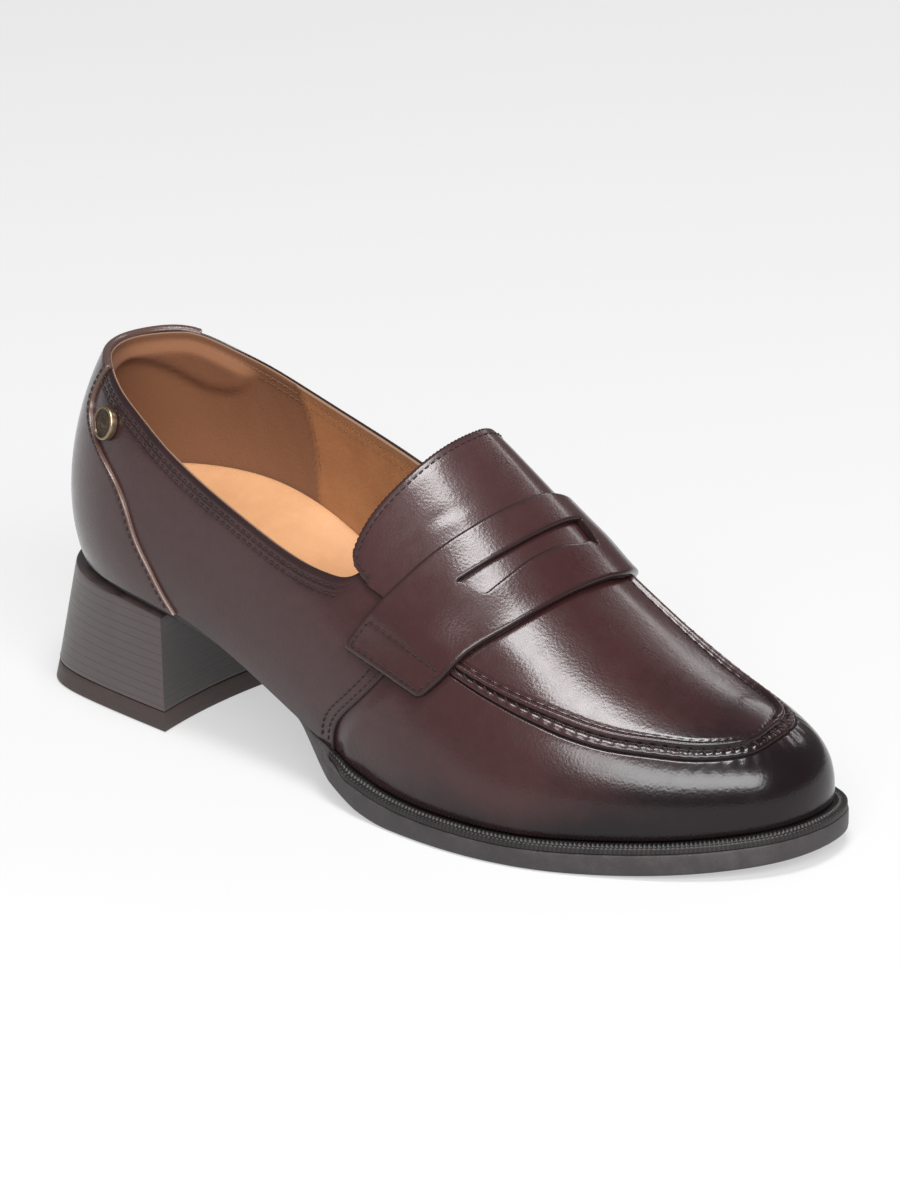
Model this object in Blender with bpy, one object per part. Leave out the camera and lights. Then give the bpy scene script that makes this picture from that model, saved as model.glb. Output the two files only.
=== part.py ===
"""Loafer pump, right shoe: block heel, penny strap over a tongue, moccasin toe.

Metres in the scene, millimetres in the tables. +X runs to the toe, +Y to the inner side,
+Z up, and the floor is z = 0. In the tables x is counted from the back of the feather line
(the line where the upper meets the sole); the origin of the finished part is the middle of
the heel's bottom face.
"""
import math

import bmesh
import bpy
import numpy as np


def table(columns, rows):
    """Named columns of a short table."""
    return dict(zip(columns.split(), np.array(rows, float).T))


MM = 0.001
LATERAL, MEDIAL = -1, 1
SIDE_NAME = {LATERAL: "lateral", MEDIAL: "medial"}
GAP = 0.3                     # air between neighbouring pieces
HEEL_REST = (21.0, -2.0)      # middle of the heel's bottom face in table x, y

WALL = 1.8                    # leather and lining of the upper
# rows of the upper from the feather line up: share of the way to the apron ridge, share of the
# way past it, and how much of the ridge's height the row carries
UPPER_ROWS = table("below past raised", [
    (0.0, 0, 0), (0.2, 0, 0), (0.4, 0, 0), (0.6, 0, 0), (0.78, 0, 0), (0.92, 0, 0), (0.965, 0, 0.8),
    (1.0, 0, 1.0), (1.0, 0.05, 0.45), (1.0, 0.11, 0), (1.0, 0.33, 0), (1.0, 0.56, 0), (1.0, 0.79, 0),
    (1.0, 1.0, 0),
])
TONGUE_THICK = 1.6
STRAP_THICK = 1.8
STRAP_DROP = 1.2              # the strap's front edge lies this much closer to the upper
COUNTER_THICK = 1.1
COUNTER_LIFT = 0.4
WELT_THICK = 2.0
WELT_START = 117.0            # the welt runs from here round the toe
WELT_TAPER = 2.4              # it is this much narrower where it starts
WELT_OUT, WELT_IN = 3.6, 3.0  # how far it stands out from and reaches under the feather line
SEAT_THICK = 3.0              # outsole at the waist and under the heel seat
TREAD_BACK, TREAD_FRONT = 143.0, 190.0   # the forepart is flat on the floor between these
TOE_SPRING = 4.3
ARCH_DROP = 7.7               # rise of the sole's underside behind the tread, at ARCH_X
ARCH_X = 115.0
TOP_PIECE = 6.0
HEEL_FRONT = 48.5
HEEL_LEAN = 0.7                # how much further forward the breast stands at the top
# the heel's top rim stands out this far from the feather line
HEEL_RIM = table("x out", [(0, 4.0), (12, 3.0), (30, 1.2), (55, 0.6)])
HEEL_HEIGHT = 36.0
BREAST_HOLLOW = 2.5
BADGE_X, BADGE_SHARE = 27.3, 0.442
BADGE_R, BADGE_THICK = 4.8, 1.4
BADGE_LIFT = 0.8               # its flat back clears the curve of the upper

# feather line seen from above
OUTLINE = table("x lateral medial", [
    (3, 10.5, 11.0), (11, 20.5, 20.0), (28, 29.0, 26.0), (50, 33.0, 26.5), (75, 35.5, 24.5),
    (100, 38.5, 24.0), (125, 43.0, 28.0), (147, 46.8, 33.5), (167, 47.8, 36.5), (186, 45.0, 36.5),
    (203, 38.5, 33.5), (220, 29.5, 29.0), (232.5, 20.0, 23.2), (241, 9.5, 16.6),
])
HEEL_BACK = (0.0, 1.0)
TOE_TIP = (244.4, 4.5)

# heights of the feather line
FEATHER = table("x z", [
    (0, 41.5), (20, 40.5), (45, 38.8), (65, 34.6), (90, 24.8), (115, 15.0), (138, 9.4), (160, 8.2),
    (180, 8.0), (200, 8.6), (221, 10.0), (245, 12.6),
])

# top line of the last, the ridge every rib climbs to
CREST = table("x z y", [
    (20, 122, 0.0), (60, 119, 0.0), (90, 114, 3.0), (110, 106, 5.0), (130, 94, 6.6), (150, 78.5, 7.0),
    (170, 63.5, 6.6), (190, 51.2, 6.0), (210, 41.8, 5.5), (230, 35.5, 6.0),
])

# how a rib leaves the feather line and how flat it crosses the ridge
SHAPE = table("x rise out across", [
    (0, 0.36, 11.0, 0.61), (15, 0.36, 10.0, 0.70), (30, 0.36, 8.5, 0.84), (60, 0.36, 7.0, 0.95),
    (90, 0.36, 7.0, 0.90), (115, 0.40, 6.0, 0.72), (140, 0.48, 4.0, 0.58), (165, 0.55, 3.5, 0.56),
    (195, 0.64, 3.0, 0.61), (220, 0.67, 2.5, 0.61), (245, 0.66, 1.5, 0.58),
])
FAN_HEEL, FAN_TOE, FAN_SOFT = 34.0, 220.0, 7.0   # ribs fan out behind and ahead of these

# top edge of the upper: collar, then the throat under the tongue
TOPLINE = table("x lateral medial", [
    (0, 100.2, 100.2), (10, 99.8, 100.2), (20, 97.8, 98.2), (30, 94.4, 94.6), (40, 90.3, 91.5),
    (51, 84.6, 88.0), (69, 76.6, 82.6), (85, 70.4, 78.0), (96, 66.3, 74.4), (106, 63.4, 71.0),
    (114, 62.2, 69.6), (121, 63.4, 70.6), (128, 72.0, 77.0), (134, 84.0, 86.0), (141, 98.0, 98.0),
])

# backstay edge: share of the rib height against x
COUNTER = table("share x", [
    (0.0, 55.0), (0.12, 50.8), (0.24, 47.1), (0.37, 42.4), (0.48, 39.5), (0.58, 35.6), (0.64, 30.5),
    (0.69, 24.0), (0.75, 17.6), (0.86, 15.2), (1.0, 18.0),
])

# strap edges against the share of the girth, -1 lateral feather, 0 ridge, 1 medial feather
STRAP = table("girth rear front", [
    (-0.717, 122.4, 150.2), (-0.65, 126.8, 154.8), (-0.55, 133.2, 159.4), (-0.43, 139.0, 165.0),
    (-0.26, 145.2, 170.4), (-0.16, 147.6, 172.3), (0.0, 149.9, 174.2), (0.083, 150.6, 174.6),
    (0.22, 149.8, 173.0), (0.40, 144.5, 168.0), (0.54, 138.0, 161.8), (0.64, 132.0, 157.0),
    (0.717, 127.0, 152.4),
])
# the slot in the strap: near edge straight, far edge in two lobes, as shares of the strap width
SLOT = table("girth near far", [
    (-0.40, 0.36, 0.36), (-0.385, 0.362, 0.54), (-0.36, 0.364, 0.60), (-0.30, 0.366, 0.575),
    (-0.22, 0.366, 0.54), (-0.15, 0.36, 0.53), (-0.08, 0.35, 0.54), (0.0, 0.335, 0.585),
    (0.05, 0.325, 0.60), (0.08, 0.32, 0.55), (0.095, 0.32, 0.32),
])

# apron seam: rib share of its raised ridge on each side
APRON = table("x lateral medial", [
    (150, 0.41, 0.74), (172, 0.433, 0.77), (189, 0.458, 0.785), (203.5, 0.483, 0.785),
    (213.5, 0.523, 0.78), (225, 0.558, 0.775), (233, 0.592, 0.77), (240, 0.65, 0.76), (245, 0.742, 0.742),
])
RIDGE_HEIGHT = 1.3
RIDGE_START = {LATERAL: 157.0, MEDIAL: 174.0}   # the ridge comes out from under the strap here

# tongue: rear edge against the girth; its front end lies under the strap
TONGUE = table("girth rear", [
    (-0.56, 126.0), (-0.545, 122.0), (-0.508, 119.5), (-0.425, 121.0), (-0.308, 124.6),
    (-0.15, 128.2), (0.0, 130.0), (0.13, 129.6), (0.28, 126.4), (0.40, 122.8), (0.49, 120.8),
    (0.545, 122.8), (0.56, 126.0),
])
TONGUE_TUCK = 7.0              # its front end stops this far behind the strap's front edge

# heel block at the floor
HEEL_BASE = table("x lateral medial", [
    (-10.5, 8.0, 9.0), (-8.0, 15.0, 15.5), (-3.2, 20.6, 20.0), (4.0, 24.2, 22.8), (15.0, 27.0, 24.5),
    (32.0, 30.0, 25.6), (HEEL_FRONT, 32.5, 26.2),
])
HEEL_BASE_BACK = (-11.3, 1.0)

# how far the outsole stands out from the feather line
SOLE_EDGE = table("x out", [
    (0, -0.8), (45, -0.8), (70, -3.0), (100, -2.5), (118, 2.8), (130, 3.9), (245, 3.9),
])

# footbed: height of its middle and of its edge above the feather line
INSOLE = table("x middle edge", [
    (0, 11.0, 16.5), (40, 11.5, 17.5), (80, 10.0, 15.0), (115, 7.0, 10.0), (150, 4.5, 5.5), (245, 3.5, 4.0),
])
INSOLE_BOTTOM = 0.3

LEATHER = ("oxblood_leather", (0.060, 0.022, 0.020), 0.30, 0.0)
STRAP_LEATHER = ("strap_leather", (0.060, 0.022, 0.020), 0.28, 0.0)
TAN = ("tan_lining", (0.55, 0.30, 0.14), 0.60, 0.0)
WELT_DARK = ("welt_rubber", (0.030, 0.022, 0.020), 0.55, 0.0)
SOLE_DARK = ("sole_rubber", (0.050, 0.040, 0.036), 0.60, 0.0)
HEEL_STACK = ("stacked_heel", (0.075, 0.058, 0.050), 0.45, 0.0)
BRASS = ("aged_brass", (0.30, 0.20, 0.12), 0.40, 1.0)


def spline(xs, ys, at, periodic=False):
    """Smooth cubic through the points, free or closed."""
    xs, ys, at = (np.asarray(v, float) for v in (xs, ys, at))
    n = len(xs)
    h = np.diff(xs)
    slope = np.diff(ys) / h
    a = np.zeros((n, n))
    r = np.zeros(n)
    for i in range(1, n - 1):
        a[i, i - 1:i + 2] = h[i - 1], 2 * (h[i - 1] + h[i]), h[i]
        r[i] = 6 * (slope[i] - slope[i - 1])
    if periodic:
        a[0, 0], a[0, -1] = 1, -1
        a[-1, 0], a[-1, 1], a[-1, -2], a[-1, -1] = 2 * h[0], h[0], h[-1], 2 * h[-1]
        r[-1] = 6 * (slope[0] - slope[-1])
    else:
        a[0, 0] = a[-1, -1] = 1
    m = np.linalg.solve(a, r)
    at = np.clip(at, xs[0], xs[-1])
    k = np.clip(np.searchsorted(xs, at, side="right") - 1, 0, n - 2)
    d0, d1, w = at - xs[k], xs[k + 1] - at, h[k]
    curve = (m[k] * d1 ** 3 + m[k + 1] * d0 ** 3) / (6 * w)
    return curve + (ys[k] / w - m[k] * w / 6) * d1 + (ys[k + 1] / w - m[k + 1] * w / 6) * d0


def column(rows, x, name):
    """Smooth curve through one column against the table's first column."""
    return spline(next(iter(rows.values())), rows[name], x)


def level(rows, x, name):
    """Straight lines through one column against the table's first column."""
    return np.interp(x, next(iter(rows.values())), rows[name])


def smooth(x, a, b):
    s = np.clip((np.asarray(x, float) - a) / (b - a), 0, 1)
    return s * s * (3 - 2 * s)


def feather_loop(samples=1600):
    """The feather line from the heel back, round the lateral side, toe and medial side."""
    lateral = np.column_stack([OUTLINE["x"], -OUTLINE["lateral"]])
    medial = np.column_stack([OUTLINE["x"], OUTLINE["medial"]])[::-1]
    points = np.vstack([[HEEL_BACK], lateral, [TOE_TIP], medial, [HEEL_BACK]])
    chord = np.hypot(*np.diff(points, axis=0).T) ** 0.75
    along = np.concatenate([[0], np.cumsum(chord)])
    at = np.linspace(0, along[-1], samples + 1)
    return spline(along, points[:, 0], at, True), spline(along, points[:, 1], at, True)


LOOP_X, LOOP_Y = feather_loop()
LOOP_AT = np.arange(len(LOOP_X))
BACK_AT = 0
TIP_AT = int(np.argmax(LOOP_X))
BACK_X = float(LOOP_X[:TIP_AT].min())
TIP_X = float(LOOP_X.max())


def place_on_loop(x, side):
    """Loop position of the feather point at x on one side."""
    if side == LATERAL:
        first = int(np.argmin(LOOP_X[:TIP_AT]))
        return np.interp(x, LOOP_X[first:TIP_AT + 1], LOOP_AT[first:TIP_AT + 1])
    last = TIP_AT + int(np.argmin(LOOP_X[TIP_AT:]))
    return np.interp(x, LOOP_X[TIP_AT:last + 1][::-1], LOOP_AT[TIP_AT:last + 1][::-1])


def on_loop(at):
    n = len(LOOP_AT) - 1
    at = np.mod(at, n)
    return np.interp(at, LOOP_AT, LOOP_X), np.interp(at, LOOP_AT, LOOP_Y)


def feather(at, out):
    """Feather point moved outward by out."""
    x, y = on_loop(at)
    xa, ya = on_loop(at - 4)
    xb, yb = on_loop(at + 4)
    tx, ty = xb - xa, yb - ya
    size = np.hypot(tx, ty)
    return x + ty / size * out, y - tx / size * out


def spine_x(x):
    d = x - FAN_HEEL
    a = FAN_HEEL + 0.5 * (d + np.sqrt(d * d + FAN_SOFT ** 2))
    d = FAN_TOE - a
    return FAN_TOE - 0.5 * (d + np.sqrt(d * d + FAN_SOFT ** 2))


def rib(at, t):
    """Point of the last: at along the feather loop, t from feather line to ridge."""
    at, t = np.broadcast_arrays(np.asarray(at, float), np.asarray(t, float))
    x, y = on_loop(at)
    a = spine_x(x)
    ridge_z, ridge_y = column(CREST, a, "z"), column(CREST, a, "y")
    slope = column(CREST, a + 0.5, "z") - column(CREST, a - 0.5, "z")
    rise, out, across = (column(SHAPE, x, name) for name in ("rise", "out", "across"))
    foot_z = column(FEATHER, x, "z")
    dx, dy = x - a, y - ridge_y
    reach = np.hypot(dx, dy)
    ux, uy = dx / reach, dy / reach
    p0 = np.stack([x, y, foot_z], -1)
    p1 = np.stack([x + ux * out, y + uy * out, foot_z + rise * (ridge_z - foot_z)], -1)
    flat = across * reach
    p2 = np.stack([a + ux * flat, ridge_y + uy * flat, ridge_z + slope * ux * flat], -1)
    p3 = np.stack([a, ridge_y, ridge_z], -1)
    t = t[..., None]
    s = 1 - t
    return s ** 3 * p0 + 3 * s * s * t * p1 + 3 * s * t * t * p2 + t ** 3 * p3


def skin(at, t, off):
    """Point off millimetres outside the last."""
    at, t, off = np.broadcast_arrays(*(np.asarray(v, float) for v in (at, t, off)))
    near = np.minimum(t, 0.985)
    along = rib(at + 3, near) - rib(at - 3, near)
    up = rib(at, near + 0.01) - rib(at, near - 0.01)
    normal = np.cross(along, up)
    normal /= np.linalg.norm(normal, axis=-1, keepdims=True)
    return rib(at, t) + normal * off[..., None]


def girth_at(x, girth):
    """Loop position and rib share for a place given by x and signed girth."""
    x, girth = np.broadcast_arrays(np.asarray(x, float), np.asarray(girth, float))
    at = np.where(girth < 0, place_on_loop(x, LATERAL), place_on_loop(x, MEDIAL))
    return at, 1 - np.abs(girth)


def topline_share(at):
    """Rib share at which the upper's top edge lies; 1 where the vamp is closed."""
    at = np.atleast_1d(np.asarray(at, float))
    shares = np.linspace(0, 1, 201)
    found = []
    for a in at:
        x, _ = on_loop(a)
        side = "lateral" if a <= TIP_AT else "medial"
        if x > TOPLINE["x"][-1]:
            found.append(1.0)
            continue
        goal = column(TOPLINE, x, side)
        z = rib(np.full(201, a), shares)[:, 2]
        over = np.nonzero(z >= goal)[0]
        if len(over) == 0:
            found.append(1.0)
            continue
        k = max(int(over[0]), 1)
        found.append(shares[k - 1] + (goal - z[k - 1]) / (z[k] - z[k - 1]) * (shares[k] - shares[k - 1]))
    return np.array(found)


def underside(x):
    """Height of the outsole's underside."""
    x = np.asarray(x, float)
    toe = TOE_SPRING * (np.clip(x - TREAD_FRONT, 0, None) / (TIP_X - TREAD_FRONT)) ** 2
    arch = ARCH_DROP * (np.clip(TREAD_BACK - x, 0, None) / (TREAD_BACK - ARCH_X)) ** 2
    waist = column(FEATHER, x, "z") - GAP - SEAT_THICK
    blend = smooth(x, 88, 116)
    return toe + np.where(x < 116, waist * (1 - blend) + np.minimum(arch, waist) * blend, arch)


def sole_edge(x):
    """How far the outsole stands out from the feather line."""
    return level(SOLE_EDGE, x, "out")


def material(spec):
    name, colour, rough, metal = spec
    found = bpy.data.materials.get(name)
    if found:
        return found
    made = bpy.data.materials.new(name)
    made.use_nodes = True
    shader = made.node_tree.nodes["Principled BSDF"]
    shader.inputs["Base Color"].default_value = (*colour, 1.0)
    shader.inputs["Roughness"].default_value = rough
    shader.inputs["Metallic"].default_value = metal
    made.diffuse_color = (*colour, 1.0)
    return made


def solid(name, points, faces, spec):
    """One closed body from points in table millimetres."""
    points = np.asarray(points, float)
    keys = {}
    index = []
    kept = []
    for p in points:
        key = tuple(np.round(p, 4))
        if key not in keys:
            keys[key] = len(kept)
            kept.append(((p[0] - HEEL_REST[0]) * MM, (p[1] - HEEL_REST[1]) * MM, p[2] * MM))
        index.append(keys[key])
    clean = []
    for face in faces:
        ring = [index[i] for i in face]
        ring = [v for k, v in enumerate(ring) if v != ring[k - 1]]
        if len(ring) >= 3 and len(set(ring)) == len(ring):
            clean.append(ring)
    mesh = bpy.data.meshes.new(name)
    mesh.from_pydata(kept, [], clean)
    body = bmesh.new()
    body.from_mesh(mesh)
    bmesh.ops.triangulate(body, faces=body.faces)
    bmesh.ops.recalc_face_normals(body, faces=body.faces)
    body.to_mesh(mesh)
    body.free()
    obj = bpy.data.objects.new(name, mesh)
    bpy.context.collection.objects.link(obj)
    mesh.materials.append(material(spec))
    return obj


def shell(name, outer, inner, faces, spec):
    """A sheet with thickness: outer skin, inner skin and walls along every open edge."""
    outer, inner = np.asarray(outer, float), np.asarray(inner, float)
    first = {}
    index = [first.setdefault(tuple(np.round(p, 4)), i) for i, p in enumerate(outer)]
    clean = []
    for face in faces:
        ring = [index[i] for i in face]
        ring = [v for k, v in enumerate(ring) if v != ring[k - 1]]
        if len(ring) >= 3:
            clean.append(ring)
    count = len(outer)
    used = set()
    for ring in clean:
        used.update((ring[k - 1], ring[k]) for k in range(len(ring)))
    walls = [(b, a, a + count, b + count) for a, b in sorted(used) if (b, a) not in used]
    back = [[v + count for v in reversed(ring)] for ring in clean]
    return solid(name, np.vstack([outer, inner]), clean + back + walls, spec)


def grid_faces(rows, columns):
    return [(r * columns + c, r * columns + c + 1, (r + 1) * columns + c + 1, (r + 1) * columns + c)
            for r in range(rows - 1) for c in range(columns - 1)]


def stations(count, x0=None, x1=None, round_ends=True):
    """Places along the shoe, closer together at round ends."""
    x0 = BACK_X if x0 is None else x0
    x1 = TIP_X if x1 is None else x1
    s = np.linspace(0, 1, count)
    if round_ends:
        s = 0.25 * s + 0.75 * (1 - np.cos(math.pi * s)) / 2
    return x0 + (x1 - x0) * s


def make_upper():
    """Hollow upper: open at the collar and underneath, closed over the forepart."""
    xs = stations(41)
    rows = len(UPPER_ROWS["below"])
    outer, inner, faces, tops = [], [], [], []
    for side in (LATERAL, MEDIAL):
        at = place_on_loop(xs, side)
        top = topline_share(at)
        tops.append(top)
        ridge = np.where(top == 1.0, column(APRON, xs, SIDE_NAME[side]), 0.6 * top)
        raised = RIDGE_HEIGHT * smooth(xs, RIDGE_START[side], RIDGE_START[side] + 8)
        for part, past, lift in zip(*UPPER_ROWS.values()):
            share = np.where(past > 0, ridge + (top - ridge) * past, ridge * part)
            outer.append(skin(at, share, raised * lift))
            inner.append(skin(at, share, -WALL))
    count = len(xs)
    faces += grid_faces(rows, count)
    faces += [tuple(reversed([i + rows * count for i in f])) for f in grid_faces(rows, count)]
    outer = np.concatenate(outer)
    inner = np.concatenate(inner)
    # the two halves share the heel back, the toe tip and the closed part of the ridge
    for r in range(rows):
        for c in range(count):
            closed = tops[0][c] == 1.0 and tops[1][c] == 1.0 and r == rows - 1
            if c in (0, count - 1) or closed:
                a, b = r * count + c, (rows + r) * count + c
                outer[b] = outer[a] = (outer[a] + outer[b]) / 2
                inner[b] = inner[a] = (inner[a] + inner[b]) / 2
    return shell("upper", outer, inner, faces, LEATHER)


def make_counter():
    """Backstay wrapped round the heel, hourglass shaped."""
    rows = 13
    around = np.linspace(-1, 1, 27)
    around = np.sign(around) * np.abs(around) ** 1.35
    n = len(LOOP_AT) - 1
    outer, inner = [], []
    for r in range(rows):
        share = r / (rows - 1)
        edge = column(COUNTER, share, "x")
        start = float(place_on_loop(edge, MEDIAL)) - n
        end = float(place_on_loop(edge, LATERAL))
        at = np.where(around < 0, -start, end) * around
        top = topline_share(np.mod(at, n))
        t = 0.004 + (top - 0.004) * share
        outer.append(skin(at, t, COUNTER_LIFT + COUNTER_THICK))
        inner.append(skin(at, t, COUNTER_LIFT))
    faces = grid_faces(rows, len(around))
    return shell("counter", np.concatenate(outer), np.concatenate(inner), faces, LEATHER)


def strap_lift(girth, share):
    """How far the strap's inner side stands off the upper; share 0 is its rear edge, 1 its front."""
    over = 1 - smooth(np.abs(girth), 0.555, 0.69)
    return GAP + over * (TONGUE_THICK + GAP - STRAP_DROP * smooth(share, 0.74, 1.0))


def make_strap():
    """Penny strap with its slot."""
    ends = STRAP["girth"][[0, -1]]
    slot = SLOT["girth"]
    girths = np.unique(np.round(np.concatenate([
        np.linspace(ends[0], slot[0], 7), slot, np.linspace(slot[0], slot[-1], 13),
        np.linspace(slot[-1], ends[1], 9)]), 4))
    rear, front = column(STRAP, girths, "rear"), column(STRAP, girths, "front")
    near = level(SLOT, girths, "near")
    far = np.where((girths > slot[0]) & (girths < slot[-1]), column(SLOT, girths, "far"), near)
    parts = []
    for low, high, count in ((np.zeros_like(near), near, 4), (far, np.ones_like(far), 6)):
        for r in range(count):
            parts.append(low + (high - low) * r / (count - 1))
    outer, inner = [], []
    for share in parts:
        x = rear + (front - rear) * share
        at, t = girth_at(x, girths)
        lift = strap_lift(girths, share)
        outer.append(skin(at, t, lift + STRAP_THICK))
        inner.append(skin(at, t, lift))
    columns = len(girths)
    faces = [tuple(reversed(f)) for f in grid_faces(4, columns)]
    faces += [tuple(reversed([i + 4 * columns for i in f])) for f in grid_faces(6, columns)]
    return shell("strap", np.concatenate(outer), np.concatenate(inner), faces, STRAP_LEATHER)


def make_tongue():
    """Saddle plate standing up behind the strap, its front end tucked under it."""
    even = np.linspace(TONGUE["girth"][0], TONGUE["girth"][-1], 19)
    girths = np.unique(np.round(np.concatenate([TONGUE["girth"], even]), 4))
    rear = column(TONGUE, girths, "rear")
    front = column(STRAP, girths, "front") - TONGUE_TUCK
    rows = 10
    outer, inner = [], []
    for r in range(rows):
        x = rear + (front - rear) * r / (rows - 1)
        at, t = girth_at(x, girths)
        outer.append(skin(at, t, GAP + TONGUE_THICK))
        inner.append(skin(at, t, GAP))
    faces = [tuple(reversed(f)) for f in grid_faces(rows, len(girths))]
    return shell("tongue", np.concatenate(outer), np.concatenate(inner), faces, LEATHER)


def make_insole():
    """Padded footbed inside the upper, its edge cupped up the wall."""
    xs = stations(33)[1:-1]
    across = np.linspace(-1, 1, 9)
    clear = WALL + GAP + 0.1
    top, bottom = [], []
    for x in xs:
        foot_z = column(FEATHER, x, "z")
        middle, edge = level(INSOLE, x, "middle"), level(INSOLE, x, "edge")
        ends = []
        for side in (LATERAL, MEDIAL):
            at = place_on_loop(x, side)
            shares = np.linspace(0, 0.5, 101)
            wall = skin(np.full(101, float(at)), shares, -clear)
            ends.append([wall[np.argmax(wall[:, 2] >= foot_z + h)] for h in (INSOLE_BOTTOM + 0.3, edge)])
        for v in across:
            w = (v + 1) / 2
            low = ends[0][0] * (1 - w) + ends[1][0] * w
            high = ends[0][1] * (1 - w) + ends[1][1] * w
            cup = abs(v) ** 3
            bottom.append((low[0], low[1], foot_z + INSOLE_BOTTOM))
            top.append((high[0], high[1], foot_z + middle + (edge - middle) * cup))
    return shell("insole", top, bottom, grid_faces(len(xs), len(across)), TAN)


def make_welt():
    """Strip under the upper's edge from the side seams round the toe."""
    start = float(place_on_loop(WELT_START, LATERAL))
    end = float(place_on_loop(WELT_START, MEDIAL))
    at = np.linspace(start, end, 73)
    x, _ = on_loop(at)
    top_z = column(FEATHER, x, "z") - GAP
    out = WELT_OUT - WELT_TAPER * (1 - smooth(x, WELT_START, WELT_START + 10))
    rings = []
    for reach, drop in ((-WELT_IN, WELT_THICK), (out, WELT_THICK), (out, 0.4), (out - 0.4, 0.0), (-WELT_IN, 0.0)):
        px, py = feather(at, reach)
        rings.append(np.column_stack([px, py, top_z - drop]))
    sections = np.stack(rings, 1)
    return loft("welt", sections, WELT_DARK)


def loft(name, sections, spec):
    """Closed body through closed sections, capped at both ends."""
    count, size = sections.shape[:2]
    faces = []
    for s in range(count - 1):
        for k in range(size):
            j = (k + 1) % size
            faces.append((s * size + k, s * size + j, (s + 1) * size + j, (s + 1) * size + k))
    faces.append(tuple(range(size)))
    faces.append(tuple((count - 1) * size + k for k in reversed(range(size))))
    return solid(name, sections.reshape(-1, 3), faces, spec)


def make_outsole():
    """Full length outsole: thin seat and waist, thick forepart with a step for the welt."""
    xs = stations(49)
    xs = np.array(sorted(set(np.round(np.concatenate(
        [xs, [WELT_START - 1.6, WELT_START - 0.6, TREAD_BACK, TREAD_FRONT, 135.0, 128.0]]), 3))))
    foot_z = column(FEATHER, xs, "z")
    top_z = foot_z - GAP
    step_z = np.where(xs > WELT_START - 1, foot_z - WELT_THICK - 2 * GAP, top_z - 0.15)
    low_z = underside(xs)
    edge = sole_edge(xs)
    inner = np.minimum(-WELT_IN - GAP, edge - 2.0)
    halves = []
    for side in (LATERAL, MEDIAL):
        at = place_on_loop(xs, side)
        for reach, z in ((edge - 0.8, low_z), (edge, low_z + 0.9), (edge, step_z - 0.3),
                         (edge - 0.3, step_z), (inner, step_z), (inner, top_z)):
            px, py = feather(at, reach)
            halves.append(np.column_stack([px, py, z]))
    order = halves[:6] + halves[:5:-1]
    sections = np.stack(order, 1)
    half = len(order) // 2
    for end in (0, -1):
        for k in range(half):
            middle = (sections[end, k] + sections[end, -1 - k]) / 2
            sections[end, k] = sections[end, -1 - k] = middle
    return loft("outsole", sections, SOLE_DARK)


def heel_section(share):
    """Lateral and medial halves of one level of the heel: share 0 at the floor, 1 under the seat."""
    halves = []
    s = np.linspace(0, 1, 15) ** 1.6
    for side in (LATERAL, MEDIAL):
        bx = np.concatenate([[HEEL_BASE_BACK[0]], HEEL_BASE["x"]])
        by = np.concatenate([[HEEL_BASE_BACK[1]], side * HEEL_BASE[SIDE_NAME[side]]])
        along = np.concatenate([[0], np.cumsum(np.hypot(np.diff(bx), np.diff(by)))])
        low = np.column_stack([spline(along, bx, s * along[-1]), spline(along, by, s * along[-1])])
        start = place_on_loop(BACK_X, side)
        end = place_on_loop(HEEL_FRONT + HEEL_LEAN, side)
        if side == MEDIAL:
            start = len(LOOP_AT) - 1
        at = start + (end - start) * s
        hx, hy = feather(at, level(HEEL_RIM, on_loop(at)[0], "out"))
        high = np.column_stack([hx, hy])
        half = low * (1 - share) + high * share
        half[:, 0] = np.minimum(half[:, 0], HEEL_FRONT + HEEL_LEAN)
        halves.append(half)
    return halves


def heel_block(name, share_low, share_high, z_low, z_high, spec, levels):
    """Part of the heel between two levels; z_high is a function of x."""
    rings = []
    for k in range(levels):
        f = k / (levels - 1)
        share = share_low + (share_high - share_low) * f
        lateral, medial = heel_section(share)
        breast = []
        for v in np.linspace(0, 1, 9)[1:-1]:
            p = lateral[-1] * (1 - v) + medial[-1] * v
            breast.append((p[0] - BREAST_HOLLOW * 4 * v * (1 - v), p[1]))
        ring = np.vstack([lateral, breast, medial[::-1][:-1]])
        rings.append(np.column_stack([ring, z_low + (z_high(ring[:, 0]) - z_low) * f]))
    return loft(name, np.stack(rings, 0), spec)


def make_heel():
    """Flared block under the seat and its top piece on the floor."""
    def seat(x):
        return column(FEATHER, x, "z") - 2 * GAP - SEAT_THICK

    def split(x):
        return np.full(len(x), TOP_PIECE)

    share = TOP_PIECE / HEEL_HEIGHT
    heel_block("heel", share, 1.0, TOP_PIECE + GAP, seat, HEEL_STACK, levels=5)
    heel_block("top_piece", 0.0, share, 0.0, split, SOLE_DARK, levels=2)


def make_badge():
    """Round badge on the lateral side beside the backstay."""
    at = float(place_on_loop(BADGE_X, LATERAL))
    middle = skin(at, BADGE_SHARE, 0.0)
    normal = skin(at, BADGE_SHARE, 1.0) - middle
    normal /= np.linalg.norm(normal)
    side = np.cross(normal, (0, 0, 1))
    side /= np.linalg.norm(side)
    up = np.cross(side, normal)
    count = 28
    rings = []
    for radius, lift in ((BADGE_R, 0.0), (BADGE_R, BADGE_THICK - 0.4), (BADGE_R - 0.4, BADGE_THICK)):
        turn = np.arange(count) * 2 * math.pi / count
        circle = np.outer(np.cos(turn), side) + np.outer(np.sin(turn), up)
        rings.append(middle + circle * radius + normal * (BADGE_LIFT + lift))
    loft("badge", np.stack(rings, 0), BRASS)


def main():
    for obj in list(bpy.data.objects):
        bpy.data.objects.remove(obj, do_unlink=True)
    make_upper()
    make_counter()
    make_tongue()
    make_strap()
    make_insole()
    make_welt()
    make_outsole()
    make_heel()
    make_badge()


main()
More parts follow.
